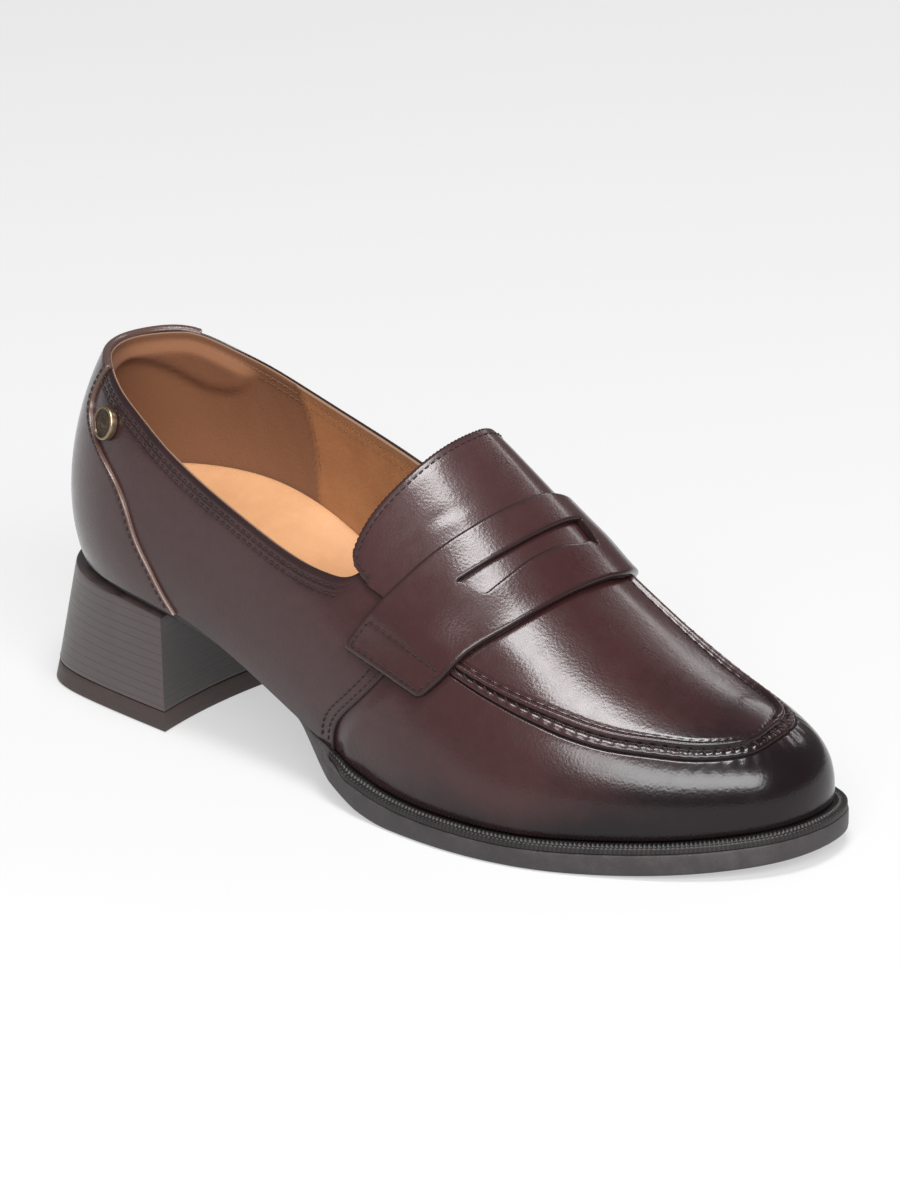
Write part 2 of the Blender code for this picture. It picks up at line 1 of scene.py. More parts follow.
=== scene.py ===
"""Looks of the loafer pump: polished oxblood leather, tan lining, rubber sole, stacked heel.

Lengths are millimetres on the shoe's last, as in its source. x runs from the back of the
feather line to the toe, a share runs from the feather line (0) up a rib to the ridge (1), a
girth runs from the lateral feather line (-1) over the ridge (0) to the medial one (1), and an
offset is counted outward from the last.
"""
import math

import bmesh
import bpy
import numpy as np
from mathutils import Matrix, Vector


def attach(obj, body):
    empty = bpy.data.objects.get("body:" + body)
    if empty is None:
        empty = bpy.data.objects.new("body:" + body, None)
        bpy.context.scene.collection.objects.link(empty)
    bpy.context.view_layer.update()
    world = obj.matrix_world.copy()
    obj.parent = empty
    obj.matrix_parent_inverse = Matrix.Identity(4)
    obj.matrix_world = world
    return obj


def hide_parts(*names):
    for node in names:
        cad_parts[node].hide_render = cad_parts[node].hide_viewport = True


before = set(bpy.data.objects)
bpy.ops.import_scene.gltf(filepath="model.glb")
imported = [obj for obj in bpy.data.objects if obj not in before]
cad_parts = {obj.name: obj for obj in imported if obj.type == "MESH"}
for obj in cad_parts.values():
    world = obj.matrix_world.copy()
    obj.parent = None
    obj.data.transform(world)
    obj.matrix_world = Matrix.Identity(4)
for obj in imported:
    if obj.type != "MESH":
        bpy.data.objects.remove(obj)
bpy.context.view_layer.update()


def table(columns, rows):
    """Named columns of a short table."""
    return dict(zip(columns.split(), np.array(rows, float).T))


MM = 0.001
LATERAL, MEDIAL = -1, 1
SIDES = (LATERAL, MEDIAL)
SIDE_NAME = {LATERAL: "lateral", MEDIAL: "medial"}
HEEL_REST = np.array([21.0, -2.0, 0.0])     # origin of the frame in table coordinates

WALL = 1.9                                  # leather and lining together
LEATHER = 0.95                              # the leather's share of it
GAP = 0.3                                   # glue gap between the pieces
TONGUE_THICK = 1.6
STRAP_THICK = 1.8
STRAP_DROP = 1.2
COUNTER_THICK = 1.25
WELT_THICK, WELT_START, WELT_TAPER = 2.0, 117.0, 2.4
WELT_OUT, WELT_IN = 3.6, 3.0
SEAT_THICK = 3.0
TREAD_BACK, TREAD_FRONT, TOE_SPRING = 143.0, 190.0, 4.3
ARCH_DROP, ARCH_X = 7.7, 115.0
TOP_PIECE, HEEL_HEIGHT = 6.0, 36.0
HEEL_FRONT, HEEL_LEAN, BREAST_HOLLOW = 48.5, 0.7, 2.5
BADGE_X, BADGE_SHARE, BADGE_LIFT = 27.3, 0.442, 0.8
GIRTH_MM = 92.0                             # about as long as a whole girth share on the instep

OUTLINE = table("x lateral medial", [
    (3, 10.5, 11.0), (11, 20.5, 20.0), (28, 29.0, 26.0), (50, 33.0, 26.5), (75, 35.5, 24.5),
    (100, 38.5, 24.0), (125, 43.0, 28.0), (147, 46.8, 33.5), (167, 47.8, 36.5), (186, 45.0, 36.5),
    (203, 38.5, 33.5), (220, 29.5, 29.0), (232.5, 20.0, 23.2), (241, 9.5, 16.6),
])
HEEL_BACK, TOE_TIP = (0.0, 1.0), (244.4, 4.5)

FEATHER = table("x z", [
    (0, 41.5), (20, 40.5), (45, 38.8), (65, 34.6), (90, 24.8), (115, 15.0), (138, 9.4), (160, 8.2),
    (180, 8.0), (200, 8.6), (221, 10.0), (245, 12.6),
])
CREST = table("x z y", [
    (20, 122, 0.0), (60, 119, 0.0), (90, 114, 3.0), (110, 106, 5.0), (130, 94, 6.6), (150, 78.5, 7.0),
    (170, 63.5, 6.6), (190, 51.2, 6.0), (210, 41.8, 5.5), (230, 35.5, 6.0),
])
SHAPE = table("x rise out across", [
    (0, 0.36, 11.0, 0.61), (15, 0.36, 10.0, 0.70), (30, 0.36, 8.5, 0.84), (60, 0.36, 7.0, 0.95),
    (90, 0.36, 7.0, 0.90), (115, 0.40, 6.0, 0.72), (140, 0.48, 4.0, 0.58), (165, 0.55, 3.5, 0.56),
    (195, 0.64, 3.0, 0.61), (220, 0.67, 2.5, 0.61), (245, 0.66, 1.5, 0.58),
])
FAN_HEEL, FAN_TOE, FAN_SOFT = 34.0, 220.0, 7.0

TOPLINE = table("x lateral medial", [
    (0, 100.2, 100.2), (10, 99.8, 100.2), (20, 97.8, 98.2), (30, 94.4, 94.6), (40, 90.3, 91.5),
    (51, 84.6, 88.0), (69, 76.6, 82.6), (85, 70.4, 78.0), (96, 66.3, 74.4), (106, 63.4, 71.0),
    (114, 62.2, 69.6), (121, 63.4, 70.6), (128, 72.0, 77.0), (134, 84.0, 86.0), (141, 98.0, 98.0),
])
COUNTER = table("share x", [
    (0.0, 55.0), (0.12, 50.8), (0.24, 47.1), (0.37, 42.4), (0.48, 39.5), (0.58, 35.6), (0.64, 30.5),
    (0.69, 24.0), (0.75, 17.6), (0.86, 15.2), (1.0, 18.0),
])
STRAP = table("girth rear front", [
    (-0.717, 122.4, 150.2), (-0.65, 126.8, 154.8), (-0.55, 133.2, 159.4), (-0.43, 139.0, 165.0),
    (-0.26, 145.2, 170.4), (-0.16, 147.6, 172.3), (0.0, 149.9, 174.2), (0.083, 150.6, 174.6),
    (0.22, 149.8, 173.0), (0.40, 144.5, 168.0), (0.54, 138.0, 161.8), (0.64, 132.0, 157.0),
    (0.717, 127.0, 152.4),
])
SLOT = table("girth near far", [
    (-0.40, 0.36, 0.36), (-0.385, 0.362, 0.54), (-0.36, 0.364, 0.60), (-0.30, 0.366, 0.575),
    (-0.22, 0.366, 0.54), (-0.15, 0.36, 0.53), (-0.08, 0.35, 0.54), (0.0, 0.335, 0.585),
    (0.05, 0.325, 0.60), (0.08, 0.32, 0.55), (0.095, 0.32, 0.32),
])
APRON = table("x lateral medial", [
    (150, 0.41, 0.74), (172, 0.433, 0.77), (189, 0.458, 0.785), (203.5, 0.483, 0.785),
    (213.5, 0.523, 0.78), (225, 0.558, 0.775), (233, 0.592, 0.77), (240, 0.65, 0.76), (245, 0.742, 0.742),
])
TONGUE = table("girth rear", [
    (-0.56, 126.0), (-0.545, 122.0), (-0.508, 119.5), (-0.425, 121.0), (-0.308, 124.6),
    (-0.15, 128.2), (0.0, 130.0), (0.13, 129.6), (0.28, 126.4), (0.40, 122.8), (0.49, 120.8),
    (0.545, 122.8), (0.56, 126.0),
])
TONGUE_TUCK = 7.0
HEEL_BASE = table("x lateral medial", [
    (-10.5, 8.0, 9.0), (-8.0, 15.0, 15.5), (-3.2, 20.6, 20.0), (4.0, 24.2, 22.8), (15.0, 27.0, 24.5),
    (32.0, 30.0, 25.6), (HEEL_FRONT, 32.5, 26.2),
])
HEEL_BASE_BACK = (-11.3, 1.0)
HEEL_RIM = table("x out", [(0, 4.0), (12, 3.0), (30, 1.2), (55, 0.6)])
SOLE_EDGE = table("x out", [
    (0, -0.8), (45, -0.8), (70, -3.0), (100, -2.5), (118, 2.8), (130, 3.9), (245, 3.9),
])
INSOLE = table("x middle edge", [
    (0, 11.0, 16.5), (40, 11.5, 17.5), (80, 10.0, 15.0), (115, 7.0, 10.0), (150, 4.5, 5.5), (245, 3.5, 4.0),
])

# side seam: where the quarter ends over the vamp
SIDE_SEAM = table("share x", [
    (0.0, 117.3), (0.083, 119.5), (0.167, 126.8), (0.267, 135.4), (0.36, 141.0), (0.5, 146.0), (1.0, 151.0),
])
SEAM_LAP = 6.0                  # the vamp reaches this far under the quarter
SEAM_STEP = 0.95                # and lies this much lower there
# the apron seam across its ridge, counted from the ridge's top towards the apron
SEAM_PROFILE = table("across height", [
    (-6.2, 0.0), (-5.4, 0.0), (-5.0, -0.12), (-4.6, -0.50), (-4.2, 0.10), (-3.7, 0.40), (-2.8, 0.50),
    (-2.1, 0.38), (-1.7, 0.02), (-1.35, -0.05), (-1.0, 0.50), (-0.55, 1.12), (0.0, 1.32), (0.5, 1.14),
    (0.95, 0.50), (1.25, -0.04), (1.6, -0.10), (2.4, 0.06), (4.0, 0.04), (6.0, 0.0),
])
SEAM_FADE = {LATERAL: (149.0, 156.0), MEDIAL: (164.0, 171.0)}
SEAM_NARROW = table("x scale", [(150, 0.62), (172, 0.78), (190, 1.0), (245, 1.0)])
SEAM_LOW, SEAM_HIGH = -6.2, 6.0
STITCH_HOLES = 3.4              # pitch of the hand stitches along the apron seam
TOE_PLEATS = 5.1                # pitch of the faint pleats round the toe

# rows of machine stitches, in millimetres from the edge that they follow
COLLAR_ROWS = (2.5, 4.7)
SIDE_SEAM_ROWS = (1.8, 4.3)
STRAP_END_ROWS = (1.7, 8.4)
STRAP_SIDE_ROW = 1.8
STRAP_WIDTH = 28.0              # of its ends, where the rows lie
TONGUE_ROW = 1.7
COUNTER_ROW = 1.5
LINING_SEAM_ROW = 1.6

# soft hollows and folds: place, half lengths along and across, turn in degrees, height
FOLDS = table("x girth along across turn height", [
    (138, -0.30, 11, 1.3, 62, -0.16), (141, -0.27, 9, 1.6, 66, 0.12), (146, -0.02, 8, 1.2, 84, -0.10),
    (166, -0.55, 12, 5.0, 20, -0.25), (196, -0.62, 16, 6.0, 8, 0.22), (176, -0.80, 22, 7.0, 5, -0.20),
    (98, -0.62, 24, 9.0, 15, 0.30), (80, -0.80, 22, 9.0, -12, -0.30), (112, -0.86, 14, 6.0, -25, -0.22),
    (96, 0.60, 22, 9.0, 12, 0.28), (78, 0.82, 22, 8.0, -10, -0.32), (180, 0.55, 20, 7.0, 6, -0.22),
    (206, 0.05, 18, 9.0, 0, -0.25), (184, -0.18, 15, 8.0, 10, 0.18),
])

CAMERA_TARGET = np.array([123.375, 0.0, 33.425])
CAMERA_TURN = (38.84, 20.96, -0.82)         # azimuth, elevation and roll in degrees
CAMERA_FAR = 1432.5
FRAME_PX = (900, 1200)
FOCAL_PX = 5239.0
TARGET_PX = (445.6, 644.6)                  # where the target lands in the 900 x 1200 frame


def running_sum(steps):
    """Sums of the steps so far, from 0 on."""
    return np.concatenate([[0], np.cumsum(steps)])


def spline(xs, ys, at, periodic=False):
    """Smooth cubic through the points, free or closed."""
    xs, ys, at = (np.asarray(v, float) for v in (xs, ys, at))
    n = len(xs)
    h = np.diff(xs)
    slope = np.diff(ys) / h
    a = np.zeros((n, n))
    r = np.zeros(n)
    for i in range(1, n - 1):
        a[i, i - 1:i + 2] = h[i - 1], 2 * (h[i - 1] + h[i]), h[i]
        r[i] = 6 * (slope[i] - slope[i - 1])
    if periodic:
        a[0, 0], a[0, -1] = 1, -1
        a[-1, 0], a[-1, 1], a[-1, -2], a[-1, -1] = 2 * h[0], h[0], h[-1], 2 * h[-1]
        r[-1] = 6 * (slope[0] - slope[-1])
    else:
        a[0, 0] = a[-1, -1] = 1
    m = np.linalg.solve(a, r)
    at = np.clip(at, xs[0], xs[-1])
    k = np.clip(np.searchsorted(xs, at, side="right") - 1, 0, n - 2)
    d0, d1, w = at - xs[k], xs[k + 1] - at, h[k]
    curve = (m[k] * d1 ** 3 + m[k + 1] * d0 ** 3) / (6 * w)
    return curve + (ys[k] / w - m[k] * w / 6) * d1 + (ys[k + 1] / w - m[k + 1] * w / 6) * d0


def column(rows, x, name):
    """Smooth curve through one column against the table's first column."""
    return spline(next(iter(rows.values())), rows[name], x)


def level(rows, x, name):
    """Straight lines through one column against the table's first column."""
    return np.interp(x, next(iter(rows.values())), rows[name])


def smooth(x, a, b):
    """0 up to a, 1 from b on, with a soft rise between them."""
    s = np.clip((np.asarray(x, float) - a) / (b - a), 0, 1)
    return s * s * (3 - 2 * s)


FINE = 4                        # loop samples for each one of the source's


def feather_loop(samples=1600 * FINE):
    """The feather line from the heel back, round the lateral side, toe and medial side."""
    lateral = np.column_stack([OUTLINE["x"], -OUTLINE["lateral"]])
    medial = np.column_stack([OUTLINE["x"], OUTLINE["medial"]])[::-1]
    points = np.vstack([[HEEL_BACK], lateral, [TOE_TIP], medial, [HEEL_BACK]])
    along = running_sum(np.hypot(*np.diff(points, axis=0).T) ** 0.75)
    at = np.linspace(0, along[-1], samples + 1)
    return spline(along, points[:, 0], at, True), spline(along, points[:, 1], at, True)


LOOP_X, LOOP_Y = feather_loop()
LOOP_AT = np.arange(len(LOOP_X))
LOOP_N = len(LOOP_X) - 1
TIP_AT = int(np.argmax(LOOP_X))
BACK_X = float(LOOP_X[:TIP_AT].min())
TIP_X = float(LOOP_X.max())
LOOP_MM = float(np.hypot(np.diff(LOOP_X), np.diff(LOOP_Y)).sum() / LOOP_N)   # per loop sample


def place_on_loop(x, side):
    """Loop position of the feather point at x on one side."""
    if side == LATERAL:
        first = int(np.argmin(LOOP_X[:TIP_AT]))
        return np.interp(x, LOOP_X[first:TIP_AT + 1], LOOP_AT[first:TIP_AT + 1])
    last = TIP_AT + int(np.argmin(LOOP_X[TIP_AT:]))
    return np.interp(x, LOOP_X[TIP_AT:last + 1][::-1], LOOP_AT[TIP_AT:last + 1][::-1])


def on_loop(at):
    """Feather point at a loop position."""
    at = np.mod(at, LOOP_N)
    return np.interp(at, LOOP_AT, LOOP_X), np.interp(at, LOOP_AT, LOOP_Y)


def feather(at, out):
    """Feather point moved outward by out."""
    x, y = on_loop(at)
    xa, ya = on_loop(at - 4 * FINE)
    xb, yb = on_loop(at + 4 * FINE)
    tx, ty = xb - xa, yb - ya
    size = np.hypot(tx, ty)
    return x + ty / size * out, y - tx / size * out


def feather_line(at, out, z):
    """Line along the feather, moved outward by out, at the heights z."""
    return np.column_stack([*feather(at, out), z])


def spine_x(x):
    """Where the rib that starts at x meets the ridge; ribs fan out at heel and toe."""
    d = x - FAN_HEEL
    a = FAN_HEEL + 0.5 * (d + np.sqrt(d * d + FAN_SOFT ** 2))
    d = FAN_TOE - a
    return FAN_TOE - 0.5 * (d + np.sqrt(d * d + FAN_SOFT ** 2))


def rib(at, t):
    """Point of the last: at along the feather loop, t from feather line to ridge."""
    at, t = np.broadcast_arrays(np.asarray(at, float), np.asarray(t, float))
    x, y = on_loop(at)
    a = spine_x(x)
    ridge_z, ridge_y = column(CREST, a, "z"), column(CREST, a, "y")
    slope = column(CREST, a + 0.5, "z") - column(CREST, a - 0.5, "z")
    rise, out, across = (column(SHAPE, x, name) for name in ("rise", "out", "across"))
    foot_z = column(FEATHER, x, "z")
    dx, dy = x - a, y - ridge_y
    reach = np.hypot(dx, dy)
    ux, uy = dx / reach, dy / reach
    p0 = np.stack([x, y, foot_z], -1)
    p1 = np.stack([x + ux * out, y + uy * out, foot_z + rise * (ridge_z - foot_z)], -1)
    flat = across * reach
    p2 = np.stack([a + ux * flat, ridge_y + uy * flat, ridge_z + slope * ux * flat], -1)
    p3 = np.stack([a, ridge_y, ridge_z], -1)
    t = t[..., None]
    s = 1 - t
    return s ** 3 * p0 + 3 * s * s * t * p1 + 3 * s * t * t * p2 + t ** 3 * p3


def unit(v):
    """Vectors brought to length 1."""
    return v / np.linalg.norm(v, axis=-1, keepdims=True)


def outward(at, t):
    """Normal of the last, pointing out."""
    near = np.minimum(t, 0.985)
    along = rib(at + 3 * FINE, near) - rib(at - 3 * FINE, near)
    up = rib(at, near + 0.01) - rib(at, near - 0.01)
    return unit(np.cross(along, up))


def skin(at, t, off):
    """Point off millimetres outside the last."""
    at, t, off = np.broadcast_arrays(*(np.asarray(v, float) for v in (at, t, off)))
    return rib(at, t) + outward(at, t) * off[..., None]


def girth_at(x, girth):
    """Loop position and rib share for a place given by x and signed girth."""
    x, girth = np.broadcast_arrays(np.asarray(x, float), np.asarray(girth, float))
    at = np.where(girth < 0, place_on_loop(x, LATERAL), place_on_loop(x, MEDIAL))
    return at, 1 - np.abs(girth)


def side_of(at):
    """The side that each loop position is on."""
    return np.where(np.mod(at, LOOP_N) <= TIP_AT, LATERAL, MEDIAL)


def by_side(rows, x, at):
    """A table's lateral or medial column, after the side that each place is on."""
    return np.where(side_of(at) == LATERAL, column(rows, x, "lateral"), column(rows, x, "medial"))


def share_scale(at, t):
    """Millimetres up the rib for a whole share, near t."""
    low, high = np.clip(t - 0.01, 0, 0.98), np.clip(t + 0.01, 0.02, 1)
    return np.linalg.norm(rib(at, high) - rib(at, low), axis=-1) / (high - low)


def topline_shares(side, xs):
    """Rib shares at which the upper's top edge lies; 1 where the vamp is closed."""
    shares = np.linspace(0, 1, 401)
    found = []
    for x in xs:
        z = rib(np.full(401, place_on_loop(x, side)), shares)[:, 2]
        goal = column(TOPLINE, x, SIDE_NAME[side])
        over = np.nonzero(z >= goal)[0]
        if len(over) == 0:
            found.append(1.0)
            continue
        k = max(int(over[0]), 1)
        found.append(shares[k - 1] + (goal - z[k - 1]) / (z[k] - z[k - 1]) * (shares[k] - shares[k - 1]))
    return np.array(found)


TOP_X = np.linspace(BACK_X, TOPLINE["x"][-1], 240)
TOP_SHARES = {side: topline_shares(side, TOP_X) for side in SIDES}


def top_share(at):
    """Rib share of the top edge at a place on the loop."""
    x, _ = on_loop(at)
    lateral, medial = (np.interp(x, TOP_X, TOP_SHARES[side], right=1.0) for side in SIDES)
    return np.where(side_of(at) == LATERAL, lateral, medial)


def underside(x):
    """Height of the outsole's underside."""
    x = np.asarray(x, float)
    toe = TOE_SPRING * (np.clip(x - TREAD_FRONT, 0, None) / (TIP_X - TREAD_FRONT)) ** 2
    arch = ARCH_DROP * (np.clip(TREAD_BACK - x, 0, None) / (TREAD_BACK - ARCH_X)) ** 2
    waist = column(FEATHER, x, "z") - GAP - SEAT_THICK
    blend = smooth(x, 88, 116)
    return toe + np.where(x < 116, waist * (1 - blend) + np.minimum(arch, waist) * blend, arch)


def folds(at, t):
    """Height of the soft hollows and folds of the leather."""
    x, _ = on_loop(at)
    girth = side_of(at) * (1 - t)
    height = np.zeros(np.shape(x))
    for px, pg, along, across, turn, lift in zip(*FOLDS.values()):
        dx, dg = x - px, (girth - pg) * GIRTH_MM
        c, s = math.cos(math.radians(turn)), math.sin(math.radians(turn))
        u, v = (dx * c + dg * s) / along, (dg * c - dx * s) / across
        height += lift * np.exp(-u * u - v * v)
    return height


def build(name, points, faces, materials, uses=None, marks=None, sharp=48, replaces=(), slot=None):
    """A piece from points in table millimetres: merged, faces out, riding on the shoe."""
    mesh = bpy.data.meshes.new(name)
    rows = (np.asarray(points, float).reshape(-1, 3) - HEEL_REST) * MM
    mesh.from_pydata(rows.tolist(), [], np.asarray(faces).tolist())
    for key, values in (marks or {}).items():
        mesh.attributes.new(key, "FLOAT", "POINT").data.foreach_set(
            "value", np.broadcast_to(values, np.shape(points)[:-1]).astype(np.float32).ravel())
    for material in materials:
        mesh.materials.append(material)
    if uses is not None:
        mesh.polygons.foreach_set("material_index", np.asarray(uses, np.int32))
    body = bmesh.new()
    body.from_mesh(mesh)
    bmesh.ops.remove_doubles(body, verts=body.verts, dist=2e-6)
    bmesh.ops.recalc_face_normals(body, faces=body.faces)
    body.to_mesh(mesh)
    body.free()
    mesh.shade_smooth()
    mesh.set_sharp_from_angle(angle=math.radians(sharp))
    obj = bpy.data.objects.new(name, mesh)
    bpy.context.scene.collection.objects.link(obj)
    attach(obj, "root")
    if replaces:
        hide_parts(*replaces)
    return obj


def ring_faces(columns, rows, capped=True):
    """Quads over closed sections of rows points; row k lies opposite row rows - 1 - k."""
    c, r = np.meshgrid(np.arange(columns - 1), np.arange(rows), indexing="ij")
    after = (r + 1) % rows
    quads = [np.stack([c * rows + r, c * rows + after, (c + 1) * rows + after, (c + 1) * rows + r], -1)]
    if capped:
        k = np.arange(rows // 2 - 1)
        cap = np.stack([k, k + 1, rows - 2 - k, rows - 1 - k], -1)
        quads += [cap[:, ::-1], cap + (columns - 1) * rows]
    return np.concatenate([q.reshape(-1, 4) for q in quads])


def build_rings(name, sections, material, capped=True, **more):
    """A piece of one material from closed sections in a row."""
    return build(name, sections, ring_faces(*sections.shape[:2], capped), [material], **more)


def slab_faces(rows, columns):
    """Quads over two stacked grids and the walls between their four edges."""
    r, c = np.meshgrid(np.arange(rows - 1), np.arange(columns - 1), indexing="ij")
    here = r * columns + c
    top = np.stack([here, here + 1, here + columns + 1, here + columns], -1).reshape(-1, 4)
    under = top[:, ::-1] + rows * columns
    rim = np.concatenate([
        np.arange(columns), np.arange(1, rows) * columns + columns - 1,
        (rows - 1) * columns + np.arange(columns - 1)[::-1], np.arange(1, rows - 1)[::-1] * columns])
    after = np.roll(rim, -1)
    wall = np.stack([after, rim, rim + rows * columns, after + rows * columns], -1)
    return top, under, wall


def edge_steps(length, edge, count):
    """Places from 0 to length, close together within edge of both ends."""
    near = edge * np.array([0, 0.05, 0.18, 0.4, 0.7, 1.0])
    return np.concatenate([near, np.linspace(edge, length - edge, count)[1:-1], length - near[::-1]])


def roll(distance, radius, low=0.3):
    """Share of a sheet's thickness at a distance from its rolled edge."""
    near = 1 - np.clip(distance / radius, 0, 1)
    return low + (1 - low) * np.sqrt(1 - near * near)


def over_edge(at, top, off_out, off_in, rise, steps):
    """Places of a fold over a top edge: an arc from one offset to the other that climbs by rise."""
    turn = np.linspace(0, math.pi, steps + 2)[1:-1]
    middle, half = (off_out + off_in) / 2, (off_out - off_in) / 2
    up = unit(rib(at, top) - rib(at, top - 0.01))
    return [skin(at, top, middle + half * math.cos(a)) + up * (rise * math.sin(a)) for a in turn]


def folded(outer, arc, inner):
    """Sections of a sheet that runs up outside, over its top edge and down inside."""
    return np.concatenate([outer, arc, inner[::-1]]).transpose(1, 0, 2)


def fold_marks(values, steps, on_fold=None):
    """A mark's values along such sections; the fold takes the top edge's unless it has its own."""
    on_fold = values[-1] if on_fold is None else on_fold
    return np.concatenate([values, np.ones((steps, values.shape[1])) * on_fold, values[::-1]]).T


# the quarters end at this share where the tongue covers them
UNDER_TONGUE = 0.58


def collar_top(at):
    """Share of a patch's top edge: the collar, or a line hidden under the tongue."""
    return np.minimum(top_share(at[-1]), UNDER_TONGUE)


def wrap_patch(u, rows_of, past_seam):
    """Places of a patch round the heel between the side seams; rows_of gives shares below the top."""
    t = np.full((len(rows_of), len(u)), 0.5)
    for _ in range(14):
        seam = column(SIDE_SEAM, t, "x") + past_seam
        start = place_on_loop(seam, MEDIAL) - LOOP_N
        end = place_on_loop(seam, LATERAL)
        at = start + (end - start) * u
        top = collar_top(at)
        edge = RIM_ROWS[-1] / share_scale(at[-1], top)
        below = np.array(rows_of)[:, None]
        t = np.where(below <= 1, (top - edge) * below, top - edge * (2 - below))
    return at, np.clip(t, 0, 1)


# rows of the quarter under its top edge, in millimetres down from it
RIM_ROWS = np.array([0.0, 0.3, 0.8, 1.4, 2.0, 2.4, 2.8, 3.4, 4.2, 4.6, 5.0, 5.8, 7.0])
QUARTER_ROWS = np.concatenate([np.linspace(0, 1, 27), 2 - RIM_ROWS[::-1][1:] / RIM_ROWS[-1]])


def burnish_and_welt_shade(at, t):
    """How far the leather is darkened, 0 brown and 1 almost black: polish at the toe and heel, and painted
    shade along the bottom of the wall next to the welt and sole.
    """
    x, _ = on_loop(at)
    toe = smooth(x, 176, 232) * (0.55 + 0.45 * (1 - smooth(t, 0.30, 0.75)))
    # painted shade and reflection: the lowest part of the wall is darkened next to the welt and sole
    foot = 0.45 * (1 - smooth(t, 0.0, 0.16)) * smooth(x, 95, 150)
    waist = 0.25 * (1 - smooth(t, 0.0, 0.10))
    heel = 0.25 * (1 - smooth(x, 8, 40))
    return np.clip(toe + foot + waist + heel, 0, 1)


def redness(at, t):
    """How far the brown leans to red: most on the apron, least on the quarters."""
    x, _ = on_loop(at)
    return smooth(x, 120, 175) * (0.35 + 0.65 * smooth(t, 0.25, 0.55))


def groove(distance, centre, width, depth):
    """Height of a soft groove along a line at one distance."""
    d = (distance - centre) / width
    return -depth * np.exp(-d * d)


FOLD_STEPS = 6                  # points of the arc over the collar
# rough lengths round the heel, for the spacing of points
QUARTER_MM, LINING_MM, COUNTER_MM = 330.0, 336.0, 118.0


def make_quarter(leather):
    """Outer leather from side seam round the heel to side seam, folded over at the collar."""
    u = edge_steps(QUARTER_MM, 1.2, 300) / QUARTER_MM
    at, t = wrap_patch(u, QUARTER_ROWS, 0.0)
    top = collar_top(at)
    seam_gap = np.minimum(u, 1 - u) * QUARTER_MM
    down = np.clip((top - t) * share_scale(at, t), 0, 40)
    relief = folds(at, t)
    for row in COLLAR_ROWS:
        relief = relief + groove(down, row, 0.45, 0.10)
    for row, width, depth in zip(SIDE_SEAM_ROWS, (0.4, 0.5), (0.08, 0.10)):
        relief = relief + groove(seam_gap, row, width, depth)
    outer_off = relief - 0.25 * (1 - roll(seam_gap, 0.6, 0.0)) - 0.25 * (1 - roll(down, 1.0, 0.0))
    outer = skin(at, t, outer_off)
    arc = over_edge(at[-1], top, outer_off[-1], -LEATHER, 0.45, FOLD_STEPS)
    sections = folded(outer, arc, skin(at, t, np.full_like(t, -LEATHER)))
    dark = burnish_and_welt_shade(at, t) + 0.30 * (1 - smooth(down, 2, 13)) + 0.18 * (1 - smooth(seam_gap, 3, 15))
    edge = np.clip(1 - np.minimum(down / 1.6, seam_gap / 1.3), 0, 1)
    marks = {"dark": fold_marks(dark, FOLD_STEPS), "red": fold_marks(redness(at, t), FOLD_STEPS),
             "edge": fold_marks(edge, FOLD_STEPS, 1.0)}
    build_rings("quarter", sections, leather, marks=marks, replaces=("upper",), slot="oxblood_leather")


# where the padded heel grip of the lining begins
HEEL_GRIP = table("x share", [(0, 0.50), (8, 0.455), (18.5, 0.40), (29, 0.40), (35.5, 0.445), (40, 0.50)])
LINING_SEAM = table("share x", [(0.0, 57.0), (0.215, 56.5), (0.335, 55.5), (0.465, 52.0), (0.6, 48.0)])


def make_lining(lining):
    """Tan lining inside the quarters, with the padded grip at the heel."""
    u = edge_steps(LINING_MM, 0.6, 260) / LINING_MM
    at, t = wrap_patch(u, QUARTER_ROWS, 1.5 - SEAM_LAP)
    x, _ = on_loop(at)
    top = collar_top(at)
    down = np.clip((top - t) * share_scale(at, t), 0, 40)
    start = column(HEEL_GRIP, np.clip(x, 0, 40), "share")
    grip = smooth(t, start - 0.010, start + 0.035) * smooth(down, 1.0, 6.0) * (1 - smooth(x, 29, 41))
    seam = x - column(LINING_SEAM, t, "x")
    ripple = 0.05 * np.sin(x * 0.55 + t * 9) * np.sin(t * 21 + x * 0.13) * smooth(down, 3, 12)
    off = -WALL - 2.6 * grip + 0.35 * (1 - smooth(seam, -0.6, 0.4))
    off = off + ripple + groove(seam, 0.0, 0.5, -0.25) + 0.35 * groove(down, 2.2, 0.4, -0.4)
    outer = skin(at, t, np.full_like(t, -LEATHER - 0.02))
    arc = over_edge(at[-1], top, -LEATHER - 0.02, off[-1], 0.30, FOLD_STEPS)
    sections = folded(outer, arc, skin(at, t, off))
    back = 1 - smooth(seam, -0.9, 0.9)
    rim = np.clip(1 - down / 1.2, 0, 1)
    marks = {"back": fold_marks(back, FOLD_STEPS), "rim": fold_marks(rim, FOLD_STEPS, 1.0)}
    build_rings("lining", sections, lining, marks=marks, slot="tan_lining")


